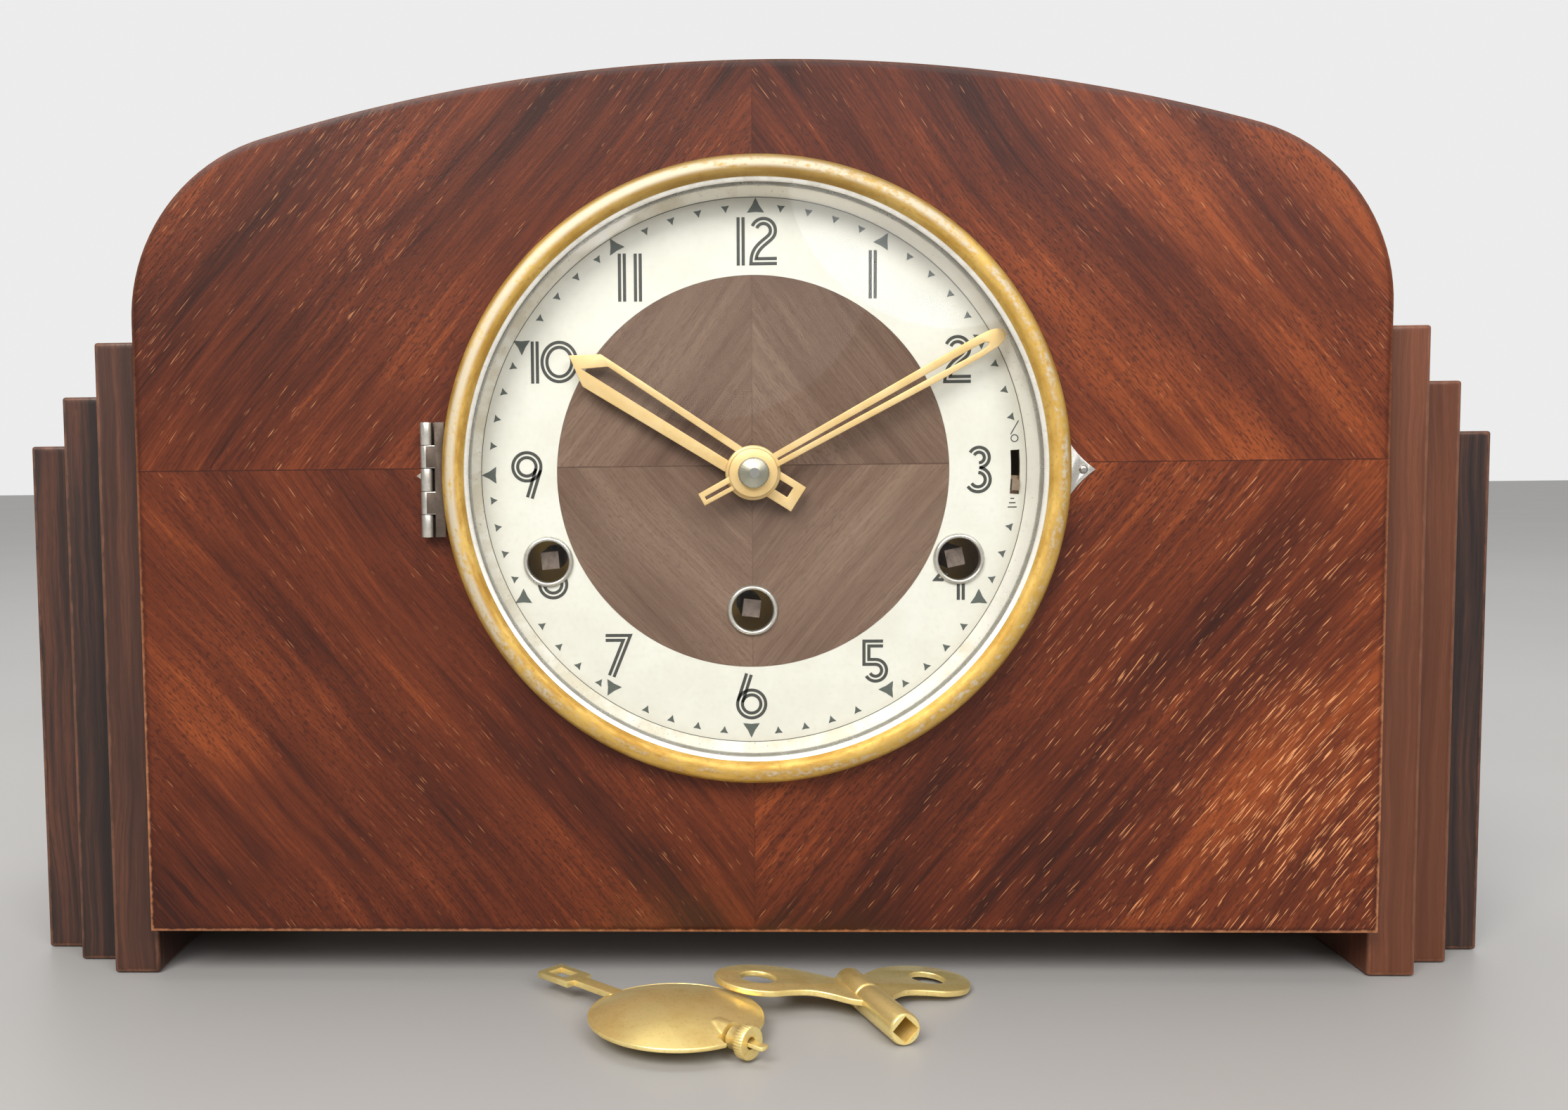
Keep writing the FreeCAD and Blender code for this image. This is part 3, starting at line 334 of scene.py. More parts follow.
def silvered_paper():
    """The cream-silver chapter ring, faintly mottled and dull at its rim."""
    look = Look("dial_silver")
    x, z, radius, _ = about_dial(look)
    clouds = look.noise(x * 0.07, z * 0.07, 5.0, 4.0, 0.6)
    mottle = look.noise(x * 0.8, z * 0.8, 2.0, 3.0, 0.6)
    grain = look.noise(x * 4.0, z * 4.0, 1.0)
    rim = radius.span(61.5, 64.0, smooth=True)
    colour = look.mix(clouds.span(0.35, 0.65), (218, 216, 206), (211, 208, 197))
    colour = look.mix(mottle.span(0.5, 0.75) * 0.35, colour, (199, 196, 183))
    colour = look.mix(rim * 0.35, colour, (196, 191, 174))
    look.relief(grain, 0.006)
    return look.finish(colour, mottle * 0.12 + 0.42, 0.12)


def hand_gilt():
    """The hands' pale gold lacquer."""
    look = Look("hand_gilt")
    x, y, z = look.place()
    clouds = look.noise(x * 0.2, z * 0.2, 1.0, 3.0)
    specks = look.noise(x * 3.0, z * 3.0, y * 3.0, 3.0)
    colour = look.mix(clouds.span(0.35, 0.65), (226, 196, 142), (218, 184, 124))
    colour = look.mix(specks.span(0.55, 0.75) * 0.25, colour, (200, 156, 96))
    look.relief(specks, 0.008)
    return look.finish(colour, specks * 0.12 + 0.36, 0.45)


def spun_nickel():
    """A turned face whose fine rings throw light in two fans, which are also painted into its colour as a
    highlight.
    """
    look = Look("nut_nickel")
    _, _, radius, angle = about_dial(look)
    rings = look.noise(radius * 14.0, 0.0)
    # painted highlight: lighter in two fans above and below the middle, with painted shade at the sides
    painted_highlight_fans = abs(look.maths("COSINE", angle)) ** 3.0
    colour = look.mix(rings * 0.5, (226, 223, 208), (198, 193, 176))
    colour = look.mix(painted_highlight_fans * 0.5, (150, 146, 130), colour)
    look.relief(rings, 0.012)
    return look.finish(colour, rings * 0.12 + 0.36, 0.6, anisotropic=0.6)


def printed(name, colour, worn):
    """Ink, paler in places."""
    look = Look(name)
    x, _, z = look.place()
    fade = look.noise(x * 1.4, z * 1.4, 3.0, 3.0, 0.6)
    return look.finish(look.mix(fade.span(0.5, 0.75) * 0.4, colour, worn), fade * 0.15 + 0.4)


def bezel_glass():
    """Clear glass: seen straight through, with the little it mirrors the same from either side."""
    look = Look("dome_glass")
    clear = look.nodes.new("ShaderNodeBsdfTransparent")
    clear.inputs["Color"].default_value = (0.985, 0.99, 0.985, 1)
    shine = look.nodes.new("ShaderNodeBsdfGlossy")
    shine.inputs["Roughness"].default_value = 0.03
    facing = Value(look, look.nodes.new("ShaderNodeLayerWeight").outputs["Facing"])
    blend = look.nodes.new("ShaderNodeMixShader")
    look.put(blend.inputs[0], facing ** 4.0 * 0.5 + 0.01)
    look.links.new(clear.outputs[0], blend.inputs[1])
    look.links.new(shine.outputs[0], blend.inputs[2])
    look.links.new(blend.outputs[0], look.nodes["Material Output"].inputs["Surface"])
    look.nodes.remove(look.shader)
    return look.material


FRONT_SHADES = ((46, 15, 5), (73, 28, 10), (92, 39, 16), (130, 62, 26))
DISC_SHADES = ((76, 54, 42), (99, 76, 63), (116, 93, 78), (138, 114, 97))
DARK_SHADES = ((26, 14, 10), (47, 28, 21), (80, 46, 32))
SHELL_SHADES = ((44, 24, 17), (78, 44, 31), (112, 66, 45))
PLAIN_SHADES = ((92, 62, 40), (134, 98, 66), (166, 128, 90))

LOOKS = {
    "veneer": quartered_veneer("front_veneer", FRONT_SHADES, (216, 148, 98), 1.0, 1.0, 0.36,
                               (170, 112, 76)),
    "disc": quartered_veneer("disc_veneer", DISC_SHADES, (190, 160, 134), 0.62, 0.2, 0.4),
    "column": straight_wood("column_wood", DARK_SHADES, "z", wear=(128, 84, 60), warm=(74, 34, 8)),
    "shell": straight_wood("shell_wood", SHELL_SHADES, "x", 0.34, gloss=0.3),
    "edge": straight_wood("edge_wood", SHELL_SHADES, "x"),
    "plain": straight_wood("plain_wood", PLAIN_SHADES, "x", 0.5, gloss=0.05),
    "gilt": gilt_bezel(),
    "reflector": silvered_reflector(),
    "paper": silvered_paper(),
    "hands": hand_gilt(),
    "spun": spun_nickel(),
    "ink": printed("numeral_ink_and_painted_shadow", (56, 56, 52), (86, 86, 80)),
    "triangle": printed("triangle_ink", (76, 82, 76), (104, 108, 100)),
    "lever": metal("lever_steel", (172, 152, 132), (120, 98, 80), 0.36, 0.6),
    "nickel": metal("nickel_plate", (206, 203, 196), (146, 137, 122), 0.28, 0.25, metallic=0.8),
    "lip": metal("lip_nickel", (226, 223, 214), (176, 168, 150), 0.3, 0.3, metallic=0.5),
    "leaf": metal("leaf_steel", (92, 80, 70), (54, 42, 36), 0.45, 0.3, 0.6, metallic=0.6),
    "square": metal("square_steel", (146, 130, 120), (96, 80, 72), 0.42, 0.5, 0.8, metallic=0.7),
    "steel": metal("bright_steel", (176, 174, 170), (118, 110, 100), 0.3, 0.2),
    "brass": metal("loose_brass", (250, 228, 154), (206, 166, 86), 0.3, 0.09, 0.6, 0.02,
                   metallic=0.74),
    "plates": metal("plate_brass", (216, 176, 98), (158, 118, 60), 0.34, 0.04, rolled=True),
    "drum": metal("drum_brass", (220, 180, 100), (160, 116, 56), 0.3, 0.06),
    "iron": metal("cast_iron", (52, 50, 50), (84, 66, 54), 0.6, 0.1, 0.6, 0.05, metallic=0.6),
    "glass": bezel_glass(),
}


# ---- meshes ----

def linked(name, data):
    """A new object in the scene."""
    thing = bpy.data.objects.new(name, data)
    bpy.context.collection.objects.link(thing)
    return thing


def settled(name, solid):
    """The mesh that was worked on in a bmesh."""
    mesh = bpy.data.meshes.new(name)
    solid.to_mesh(mesh)
    solid.free()
    return mesh


def build(name, shape, looks, body, slot, replaces=(), **more):
    """A mesh from a shape, which is (places, faces), riding on a body."""
    points, faces = shape
    mesh = bpy.data.meshes.new(name)
    mesh.from_pydata([at(*point) for point in points], [], faces)
    return adopt(name, mesh, looks, body, slot, replaces, **more)


def adopt(name, mesh, looks, body, slot, replaces=(), edge=None, angle=35, face_looks=None):
    """Finishes a mesh in metres and sets it on its body. edge marks the points to be worn."""
    if edge is not None:
        worn = mesh.attributes.new("edge", "FLOAT", "POINT")
        worn.data.foreach_set("value", edge)
    tidy = bmesh.new()
    tidy.from_mesh(mesh)
    bmesh.ops.remove_doubles(tidy, verts=tidy.verts, dist=1e-6)
    if not face_looks:
        bmesh.ops.recalc_face_normals(tidy, faces=tidy.faces)
    tidy.to_mesh(mesh)
    tidy.free()
    mesh.shade_smooth()
    mesh.set_sharp_from_angle(angle=math.radians(angle))
    for look in ([looks] if isinstance(looks, str) else looks):
        mesh.materials.append(LOOKS[look])
    if face_looks:
        for face in mesh.polygons:
            face.material_index = face_looks(face)
    mesh.update()
    piece = linked(name, mesh)
    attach(piece, body)
    if replaces:
        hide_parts(*replaces)
    return piece


def between(one, two):
    """Faces between two rings of point numbers."""
    faces = []
    for k in range(len(one)):
        after = (k + 1) % len(one)
        faces.append(list(dict.fromkeys((one[k], two[k], two[after], one[after]))))
    return faces


def ring(radius, steps):
    """Places round a circle, clockwise from the top."""
    turns = [math.tau * step / steps for step in range(steps)]
    return [(radius * math.sin(turn), radius * math.cos(turn)) for turn in turns]


def lathe(profile, x=0.0, z=0.0, steps=192):
    """Points and faces of a profile of (radius, depth) turned about the depth axis."""
    points, faces, rows = [], [], []
    for radius, depth in profile:
        start = len(points)
        if radius == 0:
            rows.append([start] * steps)
            points.append((x, depth, z))
        else:
            rows.append(range(start, start + steps))
            points += [(x + px, depth, z + pz) for px, pz in ring(radius, steps)]
    for one, two in zip(rows, rows[1:]):
        faces += between(one, two)
    return points, faces


def closed(profile):
    return list(profile) + [profile[0]]


def join(*parts):
    """Several (points, faces) as one."""
    points, faces = [], []
    for some_points, some_faces in parts:
        base = len(points)
        points += some_points
        faces += [[base + index for index in face] for face in some_faces]
    return points, faces


def eased(profile):
    """The same open profile with its corners cut round."""
    for _ in range(2):
        smoother = [profile[0]]
        for (r1, d1), (r2, d2) in zip(profile, profile[1:]):
            for near in (0.75, 0.25):
                smoother.append((r1 * near + r2 * (1 - near), d1 * near + d2 * (1 - near)))
        profile = smoother + [profile[-1]]
    return profile


def plate_mesh(outlines, thick, bevel):
    """A flat bevelled plate lying in XY, its middle at Z = 0, from an outline and its holes."""
    curve = bpy.data.curves.new("outline", "CURVE")
    curve.dimensions = "2D"
    curve.fill_mode = "BOTH"
    curve.extrude = (thick / 2 - bevel) * MM
    curve.bevel_depth = bevel * MM
    curve.bevel_resolution = 2
    curve.offset = -bevel * MM
    for outline in outlines:
        spline = curve.splines.new("POLY")
        spline.points.add(len(outline) - 1)
        for point, (x, y) in zip(spline.points, outline):
            point.co = (x * MM, y * MM, 0, 1)
        spline.use_cyclic_u = True
    holder = linked("outline", curve)
    ready = holder.evaluated_get(bpy.context.evaluated_depsgraph_get())
    mesh = bpy.data.meshes.new_from_object(ready)
    bpy.data.objects.remove(holder)
    mesh.materials.clear()
    return mesh


UPRIGHT = Matrix.Rotation(math.radians(90), 4, "X")


def block(name, node, look, body, slot, bevel=0.7):
    """A board with rounded arrises, as large as a CAD node, with its edges marked for wear."""
    low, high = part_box(node)
    solid = bmesh.new()
    bmesh.ops.create_cube(solid, size=1)
    for vertex in solid.verts:
        vertex.co = Vector((low[axis] if vertex.co[axis] < 0 else high[axis] for axis in range(3)))
    bmesh.ops.bevel(solid, geom=solid.edges[:], offset=bevel * MM, segments=3, profile=0.5, affect="EDGES")
    narrowest, worn_band = 3 * MM, 1.3 * MM
    main = [face for face in solid.faces if min(side.calc_length() for side in face.edges) > narrowest]
    bmesh.ops.inset_individual(solid, faces=main, thickness=worn_band)
    worn = solid.verts.layers.float.new("edge")
    inner = {vertex for face in main for vertex in face.verts}
    for vertex in solid.verts:
        vertex[worn] = 0.0 if vertex in inner else 1.0
    return adopt(name, settled(name, solid), look, body, slot, (node,), angle=50)


def softened(name, node, looks, body, slot, bevel, face_looks=None):
    """A CAD node's own shape with its sharp edges rounded."""
    solid = bmesh.new()
    solid.from_mesh(NODES[node].data)
    bmesh.ops.remove_doubles(solid, verts=solid.verts, dist=2e-6)
    bmesh.ops.dissolve_limit(solid, angle_limit=math.radians(1), verts=solid.verts, edges=solid.edges)
    sharp = [edge for edge in solid.edges if len(edge.link_faces) == 2
             and edge.calc_face_angle(0) > math.radians(40)]
    bmesh.ops.bevel(solid, geom=sharp, offset=bevel * MM, segments=2, profile=0.5,
                    affect="EDGES", clamp_overlap=True)
    return adopt(name, settled(name, solid), looks, body, slot, (node,), angle=40, face_looks=face_looks)


# ---- the case ----

def arch_point(turn, inset):
    """Where a ray from the dial's centre, turned from straight up, leaves the panel drawn in by inset."""
    half, top = PANEL_HALF - inset, PANEL_TOP - inset
    big, small = ARCH_RADIUS - inset, SHOULDER_RADIUS - inset
    bottom = PANEL_BOTTOM + inset
    big_z = top - big
    small_x = half - small
    small_z = big_z + math.sqrt((big - small) ** 2 - small_x ** 2)
    lean = math.atan2(small_x, small_z - big_z)

    def inside(x, z):
        x = abs(x)
        if z < bottom or x > half:
            return False
        if math.atan2(x, z - big_z) < lean:
            return math.hypot(x, z - big_z) <= big
        if z > small_z:
            return math.hypot(x - small_x, z - small_z) <= small
        return True

    near, far = 1.0, 400.0
    for _ in range(40):
        middle = (near + far) / 2
        if inside(middle * math.sin(turn), DIAL_Z + middle * math.cos(turn)):
            near = middle
        else:
            far = middle
    return near * math.sin(turn), DIAL_Z + near * math.cos(turn)


def front_veneers():
    """The four leaves as one sheet, with a softened outer edge and a marked band for its wear."""
    corner = math.atan2(PANEL_HALF, PANEL_BOTTOM - DIAL_Z)
    turns = sorted([math.tau * step / 360 - math.pi for step in range(360)] + [corner, -corner])
    points, edge, faces = [], [], []
    for inset, depth, worn in ((0.0, VENEER, 1), (0.0, 0.4, 1), (0.12, 0.12, 1), (0.4, 0.0, 1),
                               (1.9, 0.0, 0)):
        for turn in turns:
            if abs(abs(turn) - corner) < 1e-9:
                x, z = math.copysign(PANEL_HALF - inset, turn), PANEL_BOTTOM + inset
            else:
                x, z = arch_point(turn, inset)
            points.append((x, depth, z))
            edge.append(float(worn))
    for wider, depth in ((1.6, 0.0), (0.2, 0.0), (0.0, 0.2), (0.0, VENEER)):
        radius = DIAL_HOLE + wider
        for turn in turns:
            points.append((radius * math.sin(turn), depth, DIAL_Z + radius * math.cos(turn)))
            edge.append(0.0)
    rows = [range(start, start + len(turns)) for start in range(0, len(points), len(turns))]
    for one, two in zip(rows, rows[1:] + rows[:1]):
        faces += between(one, two)
    build("veneer_front", (points, faces), "veneer", "case", "wood_front", ("front_veneers",),
          edge=edge, angle=30)


front_veneers()
for side in ("left", "right"):
    for step in ("inner", "middle", "outer"):
        block(f"{side}_{step}_step", f"{side}_column_{step}", "column", "case", "wood_dark")
block("case_floor", "base_board", "plain", "case", "wood_plain", 0.4)


# ---- the dial ----

WINDING = [middle(f"{train}_winding_arbor") for train in ("strike", "time", "chime")]


def arc(x, z, radius, start, end, steps=20, tall=None):
    """Points round an arc, with angles in degrees from the right, anticlockwise."""
    tall = tall or radius
    turns = [math.radians(start + (end - start) * step / steps) for step in range(steps + 1)]
    return [(x + radius * math.cos(turn), z + tall * math.sin(turn)) for turn in turns]


def bend(start, pull, push, end, steps=14):
    """Points along a cubic curve."""
    points = []
    for step in range(1, steps + 1):
        t = step / steps
        shares = ((1 - t) ** 3, 3 * t * (1 - t) ** 2, 3 * t * t * (1 - t), t ** 3)
        pulls = list(zip(shares, (start, pull, push, end)))
        points.append(tuple(sum(share * spot[axis] for share, spot in pulls) for axis in (0, 1)))
    return points


def ring_path(x, z, radius, tall=None):
    return arc(x, z, radius, 0, 360, 48, tall)[:-1]


# each digit is a pair of lines, this far from its path at most and at least
LINE, GAP = 0.95, 0.2
TALL = 5.55
DIGITS = {
    "1": [([(0, -TALL), (0, TALL)], False)],
    "2": [(arc(0.05, 2.4, 2.2, 158, -25) + bend((2.04, 1.47), (1.3, 0.0), (-2.25, -1.0), (-2.25, -4.6))
           + [(3.15, -4.6)], False)],
    "3": [(arc(0.25, 2.8, 1.8, 152, -88), False), (arc(0.05, -2.35, 2.25, 86, -148), False)],
    "4": [([(2.2, TALL), (2.2, -TALL)], False), ([(2.0, 5.2), (-2.6, -0.2), (3.4, -0.2)], False)],
    "5": [([(1.75, 4.2), (-2.15, 4.2), (-2.15, -0.15)] + arc(0.0, -2.15, 2.0, 90, -150), False)],
    "6": [(ring_path(0, -1.75, 2.75), True), ([(-0.6, 5.4), (-2.7, -1.2)], False)],
    "7": [([(-3.0, 4.1), (2.05, 4.1), (-1.65, -5.05)], False)],
    "8": [(ring_path(0, -1.95, 2.65), True), (ring_path(0, 2.5, 2.1), True)],
    "9": [(ring_path(0, 1.85, 2.75), True), ([(2.7, 1.2), (0.6, -5.5)], False)],
    "0": [(ring_path(0, 0, 3.5, 4.0), True)],
}
# (digit, x, height from the dial's centre, share of its full height)
SHORT = 0.885
NUMERALS = [("1", -2.45, 53.6, 1), ("2", 2.77, 53.6, 1), ("1", 28.05, 45.6, 1), ("2", 47.6, 25.85, 1),
            ("3", 52.5, 0.2, 1), ("4", 46.5, -24.75, 1), ("5", 28.85, -44.7, 1), ("6", -0.35, -53.0, 1),
            ("7", -31.85, -42.9, 1), ("8", -47.15, -24.0, 1), ("9", -53.0, 0.05, 1),
            ("1", -50.75, 26.3, SHORT), ("0", -45.0, 26.35, 1), ("1", -30.1, 45.7, 1),
            ("1", -26.4, 45.65, 1)]


def shifted(path, distance, loop):
    """The path moved sideways, with mitred corners."""
    count = len(path)
    moved = []
    for index, (x, z) in enumerate(path):
        ways = []
        for one, two in ((index - 1, index), (index, index + 1)):
            if loop:
                one, two = one % count, two % count
            elif one < 0 or two >= count:
                continue
            run = Vector(path[two]) - Vector(path[one])
            if run.length > 1e-6:
                ways.append(Vector((-run.y, run.x)).normalized())
        normal = (ways[0] + ways[-1]).normalized()
        stretch = 1 / max(0.45, normal.dot(ways[0]))
        moved.append((x + normal.x * distance * stretch, z + normal.y * distance * stretch))
    return moved


PRINT_FRONT, PRINT_BACK = RING_DEPTH - 0.03, RING_DEPTH


def ribbon(path, near, far, loop, x, z):
    """A thin band between two sideways shifts of a path."""
    left, right = shifted(path, far, loop), shifted(path, near, loop)
    count = len(path)
    points, faces = [], []
    for depth in (PRINT_FRONT, PRINT_BACK):
        for line in (left, right):
            points += [(x + px, depth, z + pz) for px, pz in line]
    for step in range(count if loop else count - 1):
        after = (step + 1) % count
        for first, second in ((0, 1), (3, 2), (2, 0), (1, 3)):
            one, two = first * count, second * count
            faces.append((one + step, one + after, two + after, two + step))
    if not loop:
        for end in (0, count - 1):
            faces.append((end, count + end, 3 * count + end, 2 * count + end))
    return points, faces


def clear_of_holes(path, loop, x, z):
    """The runs of a digit's line that lie outside the winding holes."""
    hole = 5.5
    centres = [(hole_x - x, hole_z - z - DIAL_Z) for hole_x, hole_z in WINDING]
    hidden = [any(math.dist(spot, centre) < hole for centre in centres) for spot in path]
    if not any(hidden):
        return [(path, loop)]
    first = hidden.index(True)
    spots = list(zip(path, hidden))
    spots = spots[first:] + spots[:first] if loop else spots
    runs = [[]]
    for spot, covered in spots:
        if covered:
            runs.append([])
        else:
            runs[-1].append(spot)
    return [(run, False) for run in runs if len(run) > 1]


def fine(path, loop, step=0.4):
    """The same line with points close together."""
    points = []
    for one, two in zip(path, path[1:] + (path[:1] if loop else [])):
        count = max(1, round(math.dist(one, two) / step))
        points += [(one[0] + (two[0] - one[0]) * k / count, one[1] + (two[1] - one[1]) * k / count)
                   for k in range(count)]
    return points if loop else points + [path[-1]]


def triangle(x, z, size, turn):
    """A small triangle with hollow sides. One corner points at turn, clockwise from up."""
    corners = [Vector((size * math.sin(turn + k * math.tau / 3), size * math.cos(turn + k * math.tau / 3)))
               for k in range(3)]
    outline = []
    for k in range(3):
        one, two = corners[k], corners[(k + 1) % 3]
        hollow = (one + two) * 0.43
        outline += [one, one * 0.56 + two * 0.06 + hollow * 0.38]
        outline += [hollow, two * 0.56 + one * 0.06 + hollow * 0.38]
    count = len(outline)
    points = [(x + p.x, depth, z + p.y) for depth in (PRINT_FRONT, PRINT_BACK) for p in outline]
    faces = [list(range(count)), list(range(2 * count - 1, count - 1, -1))]
    faces += [(k, (k + 1) % count, count + (k + 1) % count, count + k) for k in range(count)]
    return points, faces


def numerals():
    bands = []
    for digit, x, z, scale in NUMERALS:
        for path, loop in DIGITS[digit]:
            path = [(px, pz * scale) for px, pz in path]
            if digit in "48":
                path = fine(path, loop)
            for run, whole in clear_of_holes(path, loop, x, z):
                for near, far in ((GAP, LINE), (-LINE, -GAP)):
                    bands.append(ribbon(run, near, far, whole, x, DIAL_Z + z))
    # plain signs beside the silencer slot: a ring for silence, and three bars for sound
    bands.append(ribbon(ring_path(0, 0, 0.8), -0.12, 0.12, True, 60.9, DIAL_Z + 7.4))
    bands.append(ribbon([(-0.9, -1.6), (0.9, 1.6)], -0.12, 0.12, False, 60.9, DIAL_Z + 9.9))
    for step, wide in enumerate((0.45, 0.75, 1.05)):
        bands.append(ribbon([(-wide, 0), (wide, 0)], -0.14, 0.14, False, 60.5, DIAL_Z - 6.6 - step))
    # painted shadow: a dark hair line round the outside, where the ring meets the foot of the reflector
    bands.append(ribbon(arc(0, 0, 63.72, 0, 360, 180)[:-1], -0.07, 0.07, True, 0, DIAL_Z))
    build("dial_numerals_and_painted_shadow", join(*bands), "ink", "case", "silvered", angle=60)


# the (x, height) of the big triangles; 3 has the silencer slot instead
HOURS = {1: (30.4, 53.0), 2: (53.1, 30.3), 4: (52.9, -30.0), 5: (31.8, -51.4), 6: (-0.4, -60.5),
         7: (-33.4, -50.6), 8: (-54.2, -29.2), 9: (-61.4, 0.0), 10: (-53.8, 30.3), 11: (-31.7, 52.8),
         12: (1.0, 61.3)}
SLOT_MINUTES = (14, 16)


def triangles():
    """Small ones point inwards at the minutes, and big ones stand at the hours."""
    marks = []
    for minute in range(60):
        if minute % 5 and minute not in SLOT_MINUTES:
            turn = math.radians(6 * minute + 0.4)
            x, z = 61.4 * math.sin(turn), 61.5 * math.cos(turn)
            marks.append(triangle(x, DIAL_Z + z, 1.12, turn + math.pi))
    for hour, (x, z) in HOURS.items():
        marks.append(triangle(x, DIAL_Z + z, 2.32, math.radians(30 * hour)))
    build("dial_triangles", join(*marks), "triangle", "case", "silvered", angle=60)


numerals()
triangles()

reflector = [(67.5, -0.62), (67.9, -0.4), (68.0, 0.5), (64.8, 4.0), (63.8, 4.0), (63.95, 3.7), (65.0, 2.6),
             (66.4, 1.2), (67.1, 0.3), (67.3, -0.3)]
build("reflector", lathe(closed(reflector), z=DIAL_Z), "reflector", "case", "silvered",
      ("reflector_ring",), angle=50)

grommet = eased([(4.9, 5.4), (4.85, 3.6), (4.95, 3.15), (5.4, 3.0), (5.85, 3.25), (6.0, 3.95)])
grommet += [(5.0, 4.0), (5.05, 5.4)]
build("grommets", join(*[lathe(closed(grommet), x, z, 72) for x, z in WINDING]), "nickel", "case",
      "nickel", ("winding_grommets",), angle=50)


# ---- the bezel ----

gold = eased([(66.55, -5.45), (66.9, -5.75), (67.6, -6.3), (68.4, -6.55), (69.4, -6.6), (70.5, -6.3),
              (71.3, -5.8), (71.75, -5.1), (71.9, -4.2), (71.9, -1.0)])
lip = [(71.8, -0.9), (67.8, -0.9), (67.8, -2.2), (66.2, -2.2), (66.2, -4.8), (65.62, -4.9), (65.6, -5.05),
       (65.8, -5.25), (66.3, -5.38)]
points, faces = lathe(closed(gold + lip), z=DIAL_Z, steps=256)
GOLD_EDGE, GOLD_BACK = 66.6, -0.95


def bezel_side(face):
    """Gold outside, nickel on the lip that holds the glass."""
    x, depth, z = face.center / MM
    return 0 if math.hypot(x, z - DIAL_Z) > GOLD_EDGE and depth - FRONT < GOLD_BACK else 1


build("bezel_ring", (points, faces), ("gilt", "lip"), "bezel", "gilt_brass", ("bezel_frame",), angle=50,
      face_looks=bezel_side)

GLASS_EDGE, GLASS_FRONT, CROWN, SHEET = 65.95, -4.8, 6.0, 1.4
curve = (GLASS_EDGE ** 2 + CROWN ** 2) / (2 * CROWN)
radii = [GLASS_EDGE * step / 24 for step in range(25)]
dome = [(radius, GLASS_FRONT - CROWN + curve - math.sqrt(curve ** 2 - radius ** 2)) for radius in radii]
inner = [(radius, depth + SHEET) for radius, depth in reversed(dome)]
build("dome_glass", lathe(dome + inner, z=DIAL_Z, steps=160), "glass", "bezel", "clear_glass",
      ("bezel_glass",), angle=50)

softened("ear_plate", "bezel_base_ring", "nickel", "case", "nickel", 0.12)
KNUCKLE_EDGE = -74.3
EAR_X = 75.6


def hinge_side(face):
    """Bright on the knuckles, dull on the leaves."""
    return 1 if face.center.x / MM > KNUCKLE_EDGE else 0


for side, body in (("fixed", "case"), ("moving", "bezel")):
    softened(f"hinge_leaf_{side}", f"bezel_hinge_{side}_leaf", ("nickel", "leaf"), body, "nickel", 0.15,
             face_looks=hinge_side)
pin_profile = eased([(0, -1.15), (0.55, -1.15), (0.95, -0.9), (1.0, -0.6)]) + [(0, -0.6)]
build("ear_pins", join(*[lathe(closed(pin_profile), x, DIAL_Z, 32) for x in (-EAR_X, EAR_X)]), "steel",
      "case", "nickel", angle=50)


# ---- the hands ----

HAND_SHEET = 0.6
# the hands' angles clockwise from twelve
HAND_TURNS = {"minute_hand": 61.6, "hour_hand": 302.3}


def hand(body, part, outlines, boss, bore, blade, boss_front, boss_thick, nodes):
    """A flat pierced hand on a round boss, drawn pointing up. blade is the depth of its front."""
    flat = plate_mesh(outlines, HAND_SHEET, 0.12)
    flat.transform(UPRIGHT)
    solid = bmesh.new()
    solid.from_mesh(flat)
    bmesh.ops.translate(solid, verts=solid.verts, vec=Vector((0, (blade + HAND_SHEET / 2) * MM, 0)))
    front, back = boss_front, boss_front + boss_thick
    rim = [(bore, front + 0.1), (bore + 0.1, front), (boss - 0.35, front), (boss - 0.1, front + 0.12),
           (boss, front + 0.4), (boss, back - 0.1), (boss - 0.1, back), (bore, back)]
    points, faces = lathe(closed(rim), steps=96)
    made = bpy.data.meshes.new("boss")
    made.from_pydata([Vector(point) * MM for point in points], [], faces)
    solid.from_mesh(made)
    turn = Matrix.Rotation(math.radians(HAND_TURNS[body]), 3, "Y")
    bmesh.ops.rotate(solid, verts=solid.verts, cent=Vector(), matrix=turn)
    bmesh.ops.translate(solid, verts=solid.verts, vec=at(0, 0, DIAL_Z))
    name = f"{body}_{part}"
    return adopt(name, settled(name, solid), "hands", body, "gilt_hand", nodes, angle=45)


minute_blade = [(1.5, 3.6), (2.1, 46), (2.05, 58), (1.85, 61), (1.7, 62.8), (1.2, 64.4), (0.2, 65.3),
                (-1.1, 65.2), (-2.1, 64.2), (-2.5, 62.6), (-2.65, 60), (-2.45, 45), (-1.65, 3.6)]
minute_slit = [(0.3, 6.4), (0.5, 44), (0.75, 58.5), (0.5, 60.6), (-0.1, 61.2), (-0.6, 60.4), (-0.72, 58),
               (-0.6, 45), (-0.25, 6.4)]
minute_tail = [[(-1.95, -3.6), (1.35, -3.6), (1.25, -13.5), (-1.85, -13.5)],
               [(0.28, -5.9), (-0.55, -5.9), (-0.55, -12.5), (0.28, -12.5)]]
hour_blade = [(3.7, 3.4), (4.75, 44.5), (0.6, 50.7), (-3.85, 44.2), (-3.2, 3.4)]
hour_slit = [(2.05, 6.0), (3.15, 41.6), (-0.55, 46.6), (-0.62, 6.0)]
hour_tail = [[(-3.0, -3.6), (3.6, -3.6), (3.6, -12.3), (-3.0, -12.3)],
             [(1.95, -5.6), (-0.65, -5.6), (-0.65, -9.8), (1.95, -9.8)]]
hand("minute_hand", "pierced", [minute_blade, minute_slit], 5.72, 1.9, -1.6, -2.2, 1.4, ("minute_hand",))
hand("minute_hand", "tail", minute_tail, 3.0, 1.9, -1.6, -1.7, 0.8, ())
